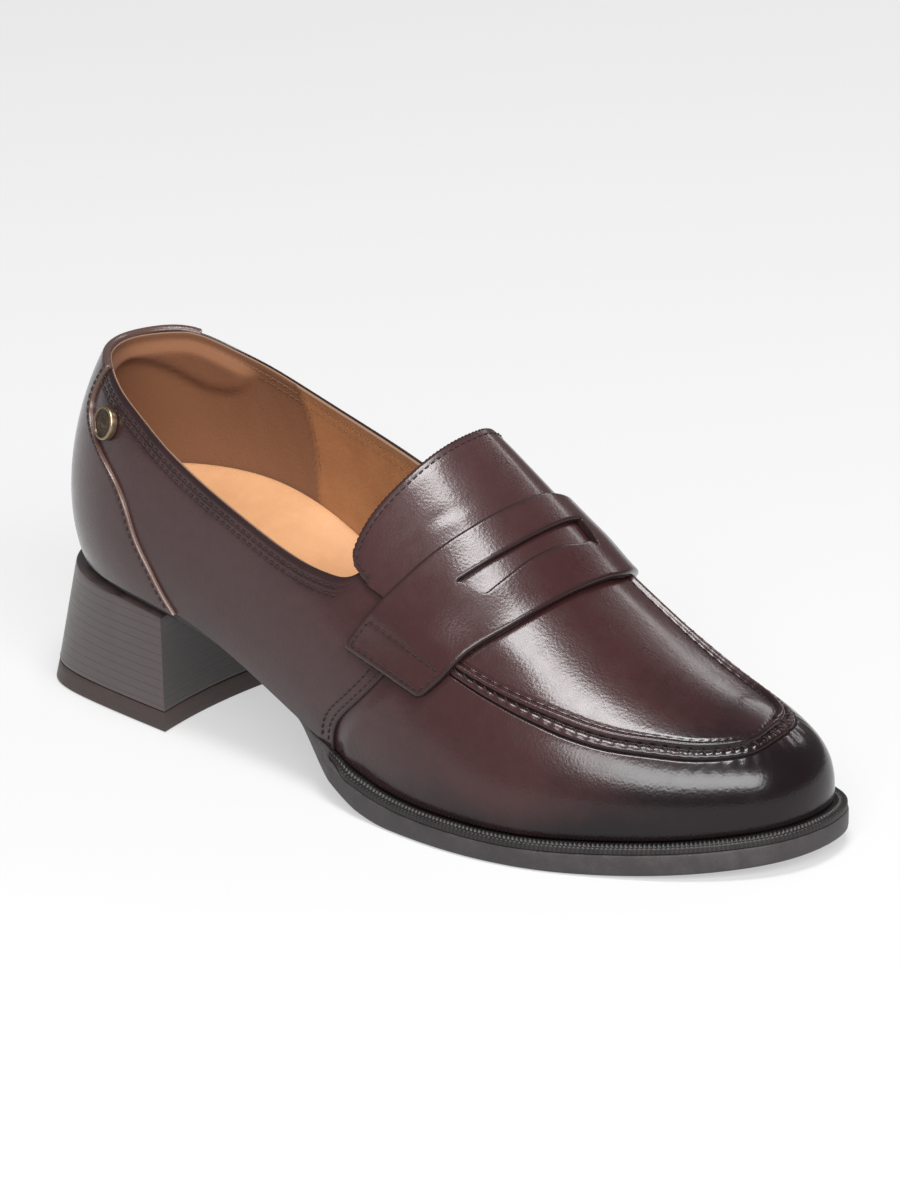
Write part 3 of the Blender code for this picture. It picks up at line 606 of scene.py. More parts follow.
def vamp_patch(u, rows, side):
    """Places of the front half of the upper on one side; rows are (below, millimetres, above)."""
    below, across, above = rows
    t = np.full((len(below) + len(across) + len(above), len(u)), 0.4)
    for _ in range(14):
        start = column(SIDE_SEAM, t, "x") - SEAM_LAP
        x = TIP_X - (TIP_X - start) * (1 - u) ** 2
        at = place_on_loop(x, side)
        at[:, -1] = TIP_AT
        ridge = column(APRON, x, SIDE_NAME[side])
        scale = share_scale(at, ridge)
        narrow = level(SEAM_NARROW, x, "scale")
        lowest = ridge + SEAM_LOW * narrow / scale
        highest = ridge + SEAM_HIGH / scale
        low_rows = len(below)
        high_rows = low_rows + len(across)
        seam_rows = slice(low_rows, high_rows)
        wide = np.where(across[:, None] < 0, narrow[seam_rows], 1)
        t = np.concatenate([
            lowest[:low_rows] * below[:, None],
            ridge[seam_rows] + across[:, None] * wide / scale[seam_rows],
            highest[high_rows:] + (1 - highest[high_rows:]) * above[:, None]])
        t = np.clip(t, 0, 1)
    return at, t


def vamp_relief(at, t, side):
    """Height of the vamp over the last, and how much painted shade each point gets in the seam's grooves and
    stitch holes.
    """
    x, _ = on_loop(at)
    ridge = column(APRON, x, SIDE_NAME[side])
    scale = share_scale(at, ridge)
    s = (t - ridge) * scale
    s = np.where(s < 0, s / level(SEAM_NARROW, x, "scale"), s)
    height = np.interp(s, SEAM_PROFILE["across"], SEAM_PROFILE["height"])
    fade = smooth(x, *SEAM_FADE[side])
    along = np.abs(at - TIP_AT) * LOOP_MM
    beat = np.cos(2 * math.pi * along / STITCH_HOLES)
    pucker = -beat * (groove(s, -2.6, 1.3, 0.09) + groove(s, 1.3, 0.7, 0.05))
    pleats = np.cos(2 * math.pi * along / TOE_PLEATS + 1.0)
    gather = -smooth(x, 205, 236) * pleats * groove(s, -6.5, 3.0, 0.04)
    seam = column(SIDE_SEAM, t, "x")
    lap = -SEAM_STEP * (1 - smooth(x, seam + 0.3, seam + 6.0)) * (1 - smooth(t, 0.50, 0.62))
    # painted shade in the seam's grooves and stitch holes: the stitched channel, the deep outer line and the
    # holes inside the ridge
    seam_groove_shade = np.clip(1.4 - np.abs(s + 1.5) / 0.45, 0, 1) + np.clip(1.5 - np.abs(s + 4.6) / 0.4, 0, 1)
    seam_groove_shade = seam_groove_shade + 0.8 * np.clip(1 - np.abs(s - 1.35) / 0.4, 0, 1)
    return fade * (height + pucker + gather) + lap + folds(at, t), np.clip(seam_groove_shade, 0, 1) * fade


def make_vamp(leather, lining):
    """Front of the upper in one piece: wall, raised apron seam and apron, tan inside."""
    u = np.linspace(0, 1, 240)
    below = np.linspace(0, 1, 24)[:-1]
    knots = (SEAM_LOW, -5.0, -4.2, -2.6, -1.2, 0.2, 1.4, 3.0, SEAM_HIGH)
    across = np.interp(np.linspace(0, 8, 49), np.arange(9), knots)
    above = np.linspace(0, 1, 22)[1:]
    grids, inners, marks = [], [], {"dark": [], "red": [], "edge": []}
    for side in SIDES:
        at, t = vamp_patch(u, (below, across, above), side)
        height, seam_groove_shade = vamp_relief(at, t, side)
        grids.append(skin(at, t, height))
        inners.append(skin(at, t, np.full_like(t, -WALL + 0.1)))
        # the seam's grooves and stitch holes get painted shade through both the dark and the edge marks
        marks["dark"].append(np.clip(burnish_and_welt_shade(at, t) + 0.8 * seam_groove_shade, 0, 1))
        marks["red"].append(redness(at, t))
        marks["edge"].append(seam_groove_shade)
    rows, columns = grids[0].shape[:2]
    for pair in (grids, inners):
        for place in ((-1, slice(None)), (slice(None), -1)):
            middle = (pair[0][place] + pair[1][place]) / 2
            pair[0][place] = pair[1][place] = middle
    top, under, wall = slab_faces(rows, columns)
    # the ridge and the toe tip are shared, so only the foot and the seam end get a wall
    wall = np.concatenate([wall[:columns - 1], wall[1 - rows:]])
    one = rows * columns
    points = np.concatenate([np.stack([grids[0], inners[0]]), np.stack([grids[1], inners[1]])])
    faces = np.concatenate([top, under, wall, top[:, ::-1] + 2 * one, under[:, ::-1] + 2 * one,
                            wall[:, ::-1] + 2 * one])
    inside = np.concatenate([np.zeros(len(top)), np.ones(len(under)), np.zeros(len(wall))])
    both = {key: np.stack([v[0], v[0], v[1], v[1]]) for key, v in marks.items()}
    build("vamp", points, faces, [leather, lining], np.tile(inside, 2), both, slot="oxblood_leather")


def plate(name, at, t, low, thick, distance, materials, radius=0.9, relief=0.0, lift=0.0, **more):
    """A leather sheet lying low millimetres over the last, rolled at its edges."""
    body = roll(distance, radius)
    off = low + lift + thick * body + relief * np.clip(distance / radius, 0, 1)
    rows, columns = at.shape
    points = np.stack([skin(at, t, off), skin(at, t, np.broadcast_to(low + lift, at.shape))])
    top, under, wall = slab_faces(rows, columns)
    edge = np.clip(1 - distance / 1.5, 0, 1)
    dark = burnish_and_welt_shade(at, t)
    marks = {"dark": np.stack([dark, dark]), "red": np.stack([redness(at, t)] * 2),
             "edge": np.stack([edge, np.ones_like(edge)])}
    uses = np.repeat([0, len(materials) - 1, 0], [len(top), len(under), len(wall)])
    return build(name, points, np.concatenate([top, under, wall]), materials, uses, marks, **more)


def make_counter(leather):
    """Backstay round the heel, its top turned in over the collar."""
    u = edge_steps(COUNTER_MM, 1.0, 150) / COUNTER_MM
    share = np.linspace(0, 1, 56)
    edge = column(COUNTER, share, "x")
    start = (place_on_loop(edge, MEDIAL) - LOOP_N)[:, None]
    end = place_on_loop(edge, LATERAL)[:, None]
    at = start + (end - start) * u
    t = top_share(at) * share[:, None]
    wide = ((end - start) * LOOP_MM)[:, :1]
    distance = np.minimum(u, 1 - u) * wide
    body = roll(distance, 0.9, 0.35)
    relief = groove(distance, COUNTER_ROW, 0.4, 0.12) + folds(at, t) * 0.5
    outer_off = 0.03 + COUNTER_THICK * body + relief * np.clip(distance, 0, 1)
    steps = 8
    arc = over_edge(at[-1], t[-1], outer_off[-1], -LEATHER - 0.25, 0.95, steps)
    sections = folded(skin(at, t, outer_off), arc, skin(at, t, np.full_like(t, 0.02)))
    # a lighter raw cut edge, which also paints the highlight that the edge catches
    rim = 1 - smooth(distance, 0.15, 0.75)
    marks = {"dark": fold_marks(burnish_and_welt_shade(at, t), steps), "red": fold_marks(np.zeros(t.shape), steps),
             "edge": fold_marks(rim, steps, 0.5)}
    build_rings("counter_leather", sections, leather, marks=marks, replaces=("counter",),
                slot="oxblood_leather")


def strap_lift(girth, share):
    """How far the strap's inner side stands off the upper; share 0 is its rear edge, 1 its front."""
    over = 1 - smooth(np.abs(girth), 0.555, 0.69)
    return GAP + over * (TONGUE_THICK + GAP - STRAP_DROP * smooth(share, 0.45, 1.05))


def strap_edges(girth):
    """Rear and front x of the strap, its corners rounded."""
    rear, front = column(STRAP, girth, "rear"), column(STRAP, girth, "front")
    in_from_end = (STRAP["girth"][-1] - np.abs(girth)) * GIRTH_MM
    corner = 1.6
    near = np.clip(corner - in_from_end, 0, corner)
    nib = corner - np.sqrt(corner ** 2 - near ** 2)
    return rear + nib, front - nib


def make_strap(leather):
    """Penny strap with its slot; the slot's far edge runs in two soft lobes."""
    end, slot = STRAP["girth"][-1], SLOT["girth"]
    near_end = np.array([0, 0.06, 0.2, 0.5, 0.9, 1.4]) / GIRTH_MM
    girth = np.unique(np.round(np.concatenate([
        -end + near_end, end - near_end, np.linspace(-end + near_end[-1], slot[0], 46),
        np.linspace(slot[0], slot[-1], 110), np.linspace(slot[-1], end - near_end[-1], 70)]), 6))
    rear, front = strap_edges(girth)
    inside = (girth > slot[0]) & (girth < slot[-1])
    near = level(SLOT, girth, "near")
    far = np.where(inside, column(SLOT, girth, "far"), near)
    slot_away = np.maximum(np.maximum(slot[0] - girth, girth - slot[-1]), 0) * GIRTH_MM
    width = front - rear
    at_ends = (end - np.abs(girth)) * GIRTH_MM
    steps = edge_steps(1.0, 0.12, 14)
    parts = []
    for low, high, rim_low, rim_high in ((0 * near, near, True, False), (far, 1 + 0 * far, False, True)):
        share = low + (high - low) * steps[:, None]
        x = rear + width * share
        to_slot = np.abs(share - (low if rim_high else high)) * width
        distance = np.minimum((share if rim_low else 1 - share) * width, np.hypot(to_slot, slot_away))
        distance = np.minimum(distance, at_ends)
        parts.append((x, share, distance))
    x, share, distance = (np.concatenate(p) for p in zip(*parts))
    at, t = girth_at(x, girth)
    rows = len(steps)
    lift = strap_lift(girth, share)
    off = lift + STRAP_THICK * roll(distance, 0.7, 0.5)
    for row in STRAP_END_ROWS:
        off = off + groove(at_ends, row, 0.4, 0.10) * np.clip(distance, 0, 1)
    grids = np.stack([skin(at, t, off), skin(at, t, lift)])
    top, under, wall = slab_faces(rows, len(girth))
    points = np.concatenate([grids[:, :rows], grids[:, rows:]])
    one = rows * len(girth)
    # the two halves meet beside the slot, so their edges have a wall only along it
    joined = ~(inside[:-1] | inside[1:])
    rear_wall = np.delete(wall, len(girth) + rows - 2 + np.nonzero(joined[::-1])[0], axis=0)
    front_wall = np.delete(wall, np.nonzero(joined)[0], axis=0)
    faces = np.concatenate([top, under, rear_wall, top + 2 * one, under + 2 * one, front_wall + 2 * one])
    dark, edge = burnish_and_welt_shade(at, t) * 0.6, np.clip(1 - distance / 1.4, 0, 1)
    marks = {}
    for key, outer, inner in (("dark", dark, dark), ("red", redness(at, t), redness(at, t)),
                              ("edge", edge, np.ones_like(edge))):
        marks[key] = np.concatenate([np.stack([outer[:rows], inner[:rows]]),
                                     np.stack([outer[rows:], inner[rows:]])])
    build("penny_strap", points, faces, [leather], marks=marks, replaces=("strap",), slot="strap_leather")


def make_tongue(leather, lining):
    """Saddle plate behind the strap with a rolled rim and a stitched line inside it."""
    girth = np.unique(np.round(edge_steps(1.12, 0.05, 150) - 0.56, 6))
    rear = column(TONGUE, girth, "rear")
    front = column(STRAP, girth, "front") - TONGUE_TUCK
    rows = np.concatenate([np.array([0, 0.08, 0.25, 0.5, 0.8, 1.2, 1.7, 2.3, 2.8, 3.4, 4.2]) / 30,
                           np.linspace(4.2 / 30, 1, 26)[1:]])
    x = rear + (front - rear) * rows[:, None]
    y = girth * GIRTH_MM
    away = np.full(x.shape, 99.0)
    for edge_x, edge_y in zip(rear[::2], y[::2]):
        away = np.minimum(away, np.hypot(x - edge_x, y - edge_y))
    away[0] = 0
    at, t = girth_at(x, girth)
    relief = folds(at, t) * smooth(away, 2, 6) + groove(away, TONGUE_ROW, 0.4, 0.12)
    plate("saddle_tongue", at, t, GAP, TONGUE_THICK, away, [leather, lining], 1.1, relief,
          replaces=("tongue",), slot="oxblood_leather")


def along_shoe(count):
    """x places from the back to the toe's tip, closer together at both ends."""
    s = np.linspace(0, 1, count)
    s = 0.25 * s + 0.75 * (1 - np.cos(math.pi * s)) / 2
    return BACK_X + (TIP_X - BACK_X) * s


def make_insole(footbed):
    """Leather covered footbed, cupped up the walls."""
    xs = along_shoe(150)[3:-3]
    across = edge_steps(2.0, 0.10, 34) - 1
    clear = WALL + 0.15
    top, bottom = [], []
    shares = np.linspace(0, 0.5, 161)
    for x in xs:
        foot_z = column(FEATHER, x, "z")
        middle, edge = column(INSOLE, x, "middle"), column(INSOLE, x, "edge")
        ends = []
        for side in SIDES:
            wall = skin(np.full(161, float(place_on_loop(x, side))), shares, -clear)
            ends.append([[np.interp(foot_z + up, wall[:, 2], wall[:, k]) for k in (0, 1)]
                         for up in (0.6, edge)])
        w = ((across + 1) / 2)[:, None]
        low = np.array(ends[0][0]) * (1 - w) + np.array(ends[1][0]) * w
        high = np.array(ends[0][1]) * (1 - w) + np.array(ends[1][1]) * w
        cup = np.abs(across) ** 3
        rim = 0.8 * (1 - roll((1 - np.abs(across)) * 25, 1.2, 0.0))
        bottom.append(np.column_stack([low, np.full(len(w), foot_z + 0.3)]))
        top.append(np.column_stack([high, foot_z + middle + (edge - middle) * cup - rim]))
    points = np.stack([top, bottom])
    faces = np.concatenate(slab_faces(len(xs), len(across)))
    obj = build("footbed", points, faces, [footbed], replaces=("insole",), slot="tan_lining")


WELT_TOOTH = 1.22               # pitch of the beads along the welt


def make_welt(rubber):
    """Welt from the side seams round the toe: a beaded top inside a flat rim."""
    start, end = float(place_on_loop(WELT_START, LATERAL)), float(place_on_loop(WELT_START, MEDIAL))
    count = int((end - start) * LOOP_MM / WELT_TOOTH) * 6 + 1
    at = np.linspace(start, end, count)
    x, _ = on_loop(at)
    top_z = column(FEATHER, x, "z") - GAP
    out = WELT_OUT - WELT_TAPER * (1 - smooth(x, WELT_START, WELT_START + 10))
    beat = 0.5 + 0.5 * np.cos(2 * math.pi * np.arange(count) / 6)
    sharp = beat ** 0.7
    # across the welt: share of its reach, drop from its top, height of the beads there
    profile = table("reach drop bead", [
        (0.0, 0.75, 0.0), (0.10, 0.72, 0.0), (0.20, 0.50, 0.15), (0.32, 0.36, 0.42), (0.46, 0.34, 0.50),
        (0.58, 0.44, 0.34), (0.66, 0.62, 0.10), (0.72, 0.55, 0.0), (0.82, 0.42, 0.06), (0.93, 0.46, 0.20),
        (0.985, 0.62, 0.22), (1.0, 0.85, 0.10),
    ])
    rings = [feather_line(at, reach, top_z - WELT_THICK) for reach in (-WELT_IN, out)]
    rings += [feather_line(at, out * reach, top_z - drop + bead * sharp)
              for reach, drop, bead in list(zip(*profile.values()))[::-1]]
    rings += [feather_line(at, -WELT_IN, top_z - drop) for drop in (0.75, 1.2)]
    sections = np.stack(rings, 1)
    # painted shade in the gaps between the beads, so that their tips stand out lighter
    marks = {"groove": np.tile(1 - sharp, (sections.shape[1], 1)).T}
    build_rings("beaded_welt", sections, rubber, marks=marks, replaces=("welt",), slot="welt_rubber")


def make_outsole(rubber):
    """Outsole with softened edges, a groove round its tread and a step for the welt."""
    xs = along_shoe(330)
    foot_z = column(FEATHER, xs, "z")
    step = smooth(xs, WELT_START - 1.6, WELT_START - 0.6)
    step_z = foot_z - 0.45 - step * (WELT_THICK + 2 * GAP - 0.45)
    low_z = underside(xs)
    edge = level(SOLE_EDGE, xs, "out")
    inner = np.minimum(-WELT_IN - GAP, edge - 2.0)
    # from the groove in the tread out round the edge and in under the welt
    profile = [
        (edge - 7.0, low_z), (edge - 6.6, low_z + 0.35), (edge - 6.0, low_z + 0.35), (edge - 5.6, low_z),
        (edge - 1.2, low_z), (edge - 0.55, low_z + 0.12), (edge - 0.12, low_z + 0.5),
        (edge, low_z + 1.1), (edge, step_z - 0.7), (edge - 0.12, step_z - 0.2), (edge - 0.5, step_z),
        (inner, step_z), (inner, foot_z - GAP), (inner - 1.0, foot_z - GAP),
    ]
    lateral, medial = ([feather_line(place_on_loop(xs, side), reach, z) for reach, z in profile]
                       for side in SIDES)
    sections = np.stack(lateral + medial[::-1], 1)
    for end in (0, -1):
        sections[end] = (sections[end] + sections[end][::-1]) / 2
    build_rings("outsole_rubber", sections, rubber, replaces=("outsole",), slot="sole_rubber")


def heel_outline(share, points=70):
    """Closed outline of one level of the heel: share 0 at the floor, 1 under the seat."""
    s = np.linspace(0, 1, points) ** 1.6
    halves = []
    for side in SIDES:
        bx = np.concatenate([[HEEL_BASE_BACK[0]], HEEL_BASE["x"]])
        by = np.concatenate([[HEEL_BASE_BACK[1]], side * HEEL_BASE[SIDE_NAME[side]]])
        along = running_sum(np.hypot(np.diff(bx), np.diff(by)))
        low = np.column_stack([spline(along, bx, s * along[-1]), spline(along, by, s * along[-1])])
        start = LOOP_N if side == MEDIAL else place_on_loop(BACK_X, side)
        at = start + (place_on_loop(HEEL_FRONT + HEEL_LEAN, side) - start) * s
        hx, hy = feather(at, level(HEEL_RIM, on_loop(at)[0], "out"))
        half = low * (1 - share) + np.column_stack([hx, hy]) * share
        half[:, 0] = np.minimum(half[:, 0], HEEL_FRONT + HEEL_LEAN)
        halves.append(half)
    v = np.linspace(0, 1, 31)[1:-1, None]
    breast = halves[0][-1] * (1 - v) + halves[1][-1] * v
    breast[:, 0] -= (BREAST_HOLLOW * 4 * v * (1 - v))[:, 0]
    corner = np.clip(1 - np.minimum(v, 1 - v) / 0.03, 0, 1)[:, 0]
    breast[:, 0] -= 0.5 * corner
    return np.vstack([halves[0], breast, halves[1][::-1][:-1]])


def heel_part(name, levels, material, **more):
    """Heel piece from (share, height function, inset) levels, closed at both ends."""
    rings = []
    for share, height, inset in levels:
        ring = heel_outline(share)
        middle = ring.mean(0)
        ring = ring - unit(ring - middle) * inset
        rings.append(np.column_stack([ring, height(ring[:, 0])]))
    bottom, top = (np.tile(ring.mean(0), (len(ring), 1)) for ring in (rings[0], rings[-1]))
    return build_rings(name, np.stack([bottom, *rings, top]), material, False, sharp=35, **more)


def make_heel(stack, rubber):
    """Stacked heel block and the top piece it walks on."""
    base = TOP_PIECE / HEEL_HEIGHT
    lowest = TOP_PIECE + 0.15

    def at_share(f):
        return lambda x: lowest + (column(FEATHER, x, "z") - 2 * GAP - SEAT_THICK - lowest) * f

    levels = [(base, at_share(0.0), 0.5), (base, at_share(0.006), 0.12), (base, at_share(0.02), 0.0)]
    for f in np.linspace(0.05, 0.95, 12):
        levels.append((base + (1 - base) * f, at_share(f), 0.0))
    levels += [(0.985, at_share(0.98), 0.0), (0.995, at_share(0.993), 0.15), (1.0, at_share(1.0), 0.7)]
    heel_part("heel_stack", levels, stack, replaces=("heel",), slot="stacked_heel")
    flat = [(0.0, 0.0, 0.6), (0.0, 0.12, 0.2), (0.005, 0.5, 0.0), (0.05, 2.0, 0.0), (0.11, 4.0, 0.0),
            (base - 0.01, TOP_PIECE - 0.4, 0.0), (base, TOP_PIECE - 0.1, 0.15), (base, TOP_PIECE, 0.5)]
    levels = [(share, lambda x, z=z: np.full(len(x), z), inset) for share, z, inset in flat]
    heel_part("top_piece_rubber", levels, rubber, replaces=("top_piece",), slot="sole_rubber")


def make_badge(brass):
    """Round badge: raised rim, sunk field and plain rings round a small dome."""
    at = float(place_on_loop(BADGE_X, LATERAL))
    middle = skin(at, BADGE_SHARE, 0.0)
    normal = unit(skin(at, BADGE_SHARE, 1.0) - middle)
    side = unit(np.cross(normal, (0, 0, 1)))
    up = np.cross(side, normal)
    profile = table("radius height", [
        (4.80, 0.0), (4.80, 0.9), (4.72, 1.22), (4.5, 1.38), (4.2, 1.40), (3.95, 1.30), (3.85, 1.05),
        (3.7, 1.0), (3.2, 1.0), (3.1, 1.12), (2.95, 1.16), (2.8, 1.12), (2.7, 1.0), (2.2, 1.0), (2.1, 1.12),
        (1.95, 1.16), (1.8, 1.12), (1.7, 1.0), (1.2, 1.0), (1.0, 1.1), (0.7, 1.3), (0.35, 1.42), (0.0, 1.46),
    ])
    count = 72
    turn = np.append(np.arange(count), 0) * 2 * math.pi / count
    circle = np.outer(np.cos(turn), side) + np.outer(np.sin(turn), up)
    rings = [middle + circle * r + normal * (BADGE_LIFT * 0.2) for r in (0.0, profile["radius"][0])]
    rings += [middle + circle * r + normal * (BADGE_LIFT + h) for r, h in zip(*profile.values())]
    sunk = np.interp(np.arange(len(rings)), (0, 1, 5, 8, 30), (0.6, 0.6, 0.0, 1.0, 0.8))
    marks = {"sunk": np.tile(sunk, (count + 1, 1)).T}
    build_rings("ringed_badge", np.stack(rings), brass, False, marks=marks, sharp=40,
                replaces=("badge",), slot="aged_brass")


def resample(points, pitch):
    """Places a pitch apart along a dense line of points, as fractional indices."""
    along = running_sum(np.linalg.norm(np.diff(points, axis=0), axis=1))
    count = max(int(along[-1] / pitch), 1)
    return np.interp(np.linspace(0, along[-1], count + 1), along, np.arange(len(points)))


def at_index(values, index):
    """Rows of values at fractional indices."""
    whole = np.arange(len(values))
    return np.stack([np.interp(index, whole, values[:, k]) for k in range(values.shape[1])], -1)


THREAD_SIDES = 6
THREAD_LIFT = 0.05              # of the middle of a stitch over the leather
# along a stitch: share of its length, height in radii, thickness
THREAD = table("share height size", [
    (0.0, -1.2, 0.6), (0.14, 0.45, 1.0), (0.5, 1.0, 1.05), (0.86, 0.45, 1.0), (1.0, -1.2, 0.6),
])


def stitches_between(starts, ends, normals, radius):
    """Points and quads of short threads, each bowed over the leather with its ends sunk in."""
    span = ends - starts
    along, normals = unit(span), unit(normals)
    across = unit(np.cross(along, normals))
    up = np.cross(across, along)
    sides = THREAD_SIDES
    turn = np.arange(sides) * 2 * math.pi / sides
    rings = []
    for share, height, size in zip(*THREAD.values()):
        middle = starts + span * share + up * (radius * height + THREAD_LIFT * (height > 0))
        for a in turn:
            rings.append(middle + (across * math.cos(a) + up * math.sin(a)) * radius * size)
    points = np.stack(rings, 1)
    count, size = points.shape[:2]
    last = size - sides
    caps = [[3, 2, 1, 0], [0, 5, 4, 3], [last, last + 1, last + 2, last + 3],
            [last, last + 3, last + 4, last + 5]]
    one = np.concatenate([ring_faces(len(rings) // sides, sides, capped=False), caps])
    faces = (np.arange(count)[:, None, None] * size + one).reshape(-1, 4)
    return points.reshape(-1, 3), faces


class Threads:
    """Rows of stitches gathered into one piece."""

    def __init__(self, name, material, slot):
        self.name, self.material, self.slot = name, material, slot
        self.points, self.faces, self.count = [], [], 0

    def add(self, starts, ends, normals, radius):
        """One stitch for each row of starts and ends."""
        points, faces = stitches_between(starts, ends, normals, radius)
        self.points.append(points)
        self.faces.append(faces + self.count)
        self.count += len(points)

    def row(self, at, t, off, pitch=2.2):
        """A machine stitched row along a dense line on the shoe."""
        line, normal = skin(at, t, off), outward(at, t)
        marks = resample(line, pitch)
        first = marks[:-1]
        second = first + np.diff(marks) * 0.76
        normals = at_index(normal, (first + second) / 2)
        self.add(at_index(line, first), at_index(line, second), normals, 0.20)

    def build(self):
        points, faces = np.concatenate(self.points), np.concatenate(self.faces)
        build(self.name, points, faces, [self.material], slot=self.slot)


def inset_line(x, y, distance):
    """A flat line moved to its left by distance, with what folds back on itself left out."""
    tx, ty = np.gradient(x), np.gradient(y)
    size = np.hypot(tx, ty)
    px, py = x - ty / size * distance, y + tx / size * distance
    away = np.hypot(px[:, None] - x, py[:, None] - y).min(1)
    keep = away > abs(distance) * 0.97
    return px[keep], py[keep]


def collar_rows(threads, side, first_x, last_x, lift, turned=False):
    """The rows of stitches that follow the collar on one side."""
    at = np.linspace(float(place_on_loop(first_x, side)), float(place_on_loop(last_x, side)), 600)
    top = top_share(at)
    for down in COLLAR_ROWS:
        t = top - down / share_scale(at, top)
        if turned:
            threads.row(at[::-1], t[::-1], lift)
        else:
            threads.row(at, t, lift + folds(at, t))


def strap_row(threads, girth, share, inset=0.0):
    """A row on the strap at a share of its width, moved forward by inset."""
    rear, front = column(STRAP, girth, "rear"), column(STRAP, girth, "front")
    at, t = girth_at(rear + (front - rear) * share + inset, girth)
    threads.row(at, t, strap_lift(girth, share) + STRAP_THICK - 0.06)


def make_stitching(dark):
    """Machine stitches of collar, side seams, backstay, tongue and strap ends."""
    outer = Threads("stitching", dark, "oxblood_leather")
    for side in SIDES:
        collar_rows(outer, side, 16.5, 117.0, -0.02)
        t = np.linspace(0.02, 0.33, 200)
        for behind in SIDE_SEAM_ROWS:
            at = place_on_loop(column(SIDE_SEAM, t, "x") - behind, side)
            outer.row(at, t, -0.04 + folds(at, t), pitch=2.1)
        share = np.linspace(0.03, 0.985, 300)
        at = place_on_loop(column(COUNTER, share, "x"), side) - (LOOP_N if side == MEDIAL else 0)
        at = at + side * COUNTER_ROW / LOOP_MM
        t = top_share(at) * share
        outer.row(at, t, COUNTER_THICK - 0.05 + folds(at, t) * 0.5, pitch=2.1)

    girth = np.linspace(TONGUE["girth"][0], TONGUE["girth"][-1], 500)
    px, py = inset_line(column(TONGUE, girth, "rear"), girth * GIRTH_MM, -TONGUE_ROW)
    at, t = girth_at(px, py / GIRTH_MM)
    outer.row(at, t, GAP + TONGUE_THICK + folds(at, t) - 0.03)

    end = STRAP["girth"][-1]
    margin = STRAP_SIDE_ROW / STRAP_WIDTH
    share = np.linspace(margin, 1 - margin, 120)
    for side in SIDES:
        for inside in STRAP_END_ROWS:
            girth = np.full(120, side * (end - inside / GIRTH_MM))
            strap_row(outer, girth, share)
        girth = side * (end - np.linspace(*STRAP_END_ROWS, 60) / GIRTH_MM)
        strap_row(outer, girth, 0.0, STRAP_SIDE_ROW)
        strap_row(outer, girth, 1.0, -STRAP_SIDE_ROW)
    outer.build()


def make_lining_stitching(brown):
    """Brown stitches inside: along the collar and in front of the lining's seam."""
    inner = Threads("lining_stitching", brown, "tan_lining")
    for side in SIDES:
        collar_rows(inner, side, 19.0, 120.0, -WALL + 0.03, turned=True)
        t = np.linspace(0.26, 0.60, 200)
        at = place_on_loop(column(LINING_SEAM, t, "x") + LINING_SEAM_ROW, side)
        below = t < top_share(at) - 0.045
        inner.row(at[below], t[below], -WALL)
    inner.build()


def make_apron_stitching(dark):
    """Hand stitches over the apron seam, slanted outside the ridge and short inside it."""
    apron = Threads("apron_stitching", dark, "oxblood_leather")
    at = np.linspace(float(place_on_loop(157.0, LATERAL)), float(place_on_loop(173.0, MEDIAL)), 3000)
    x, _ = on_loop(at)
    ridge = by_side(APRON, x, at)
    scale = share_scale(at, ridge)
    narrow = level(SEAM_NARROW, x, "scale")

    def line(across):
        off = np.interp(across, SEAM_PROFILE["across"], SEAM_PROFILE["height"])
        wide = narrow if across < 0 else 1.0
        return skin(at, ridge + across * wide / scale, off)

    holes = resample(line(0.0), STITCH_HOLES)
    marks, step = holes[:-1], np.diff(holes).mean()
    normal = at_index(outward(at, ridge), marks)
    for start, end, slant, radius in ((-1.2, -3.1, 0.55, 0.19), (1.35, 1.45, 0.28, 0.11)):
        apron.add(at_index(line(start), marks), at_index(line(end), marks + step * slant), normal, radius)
    apron.build()


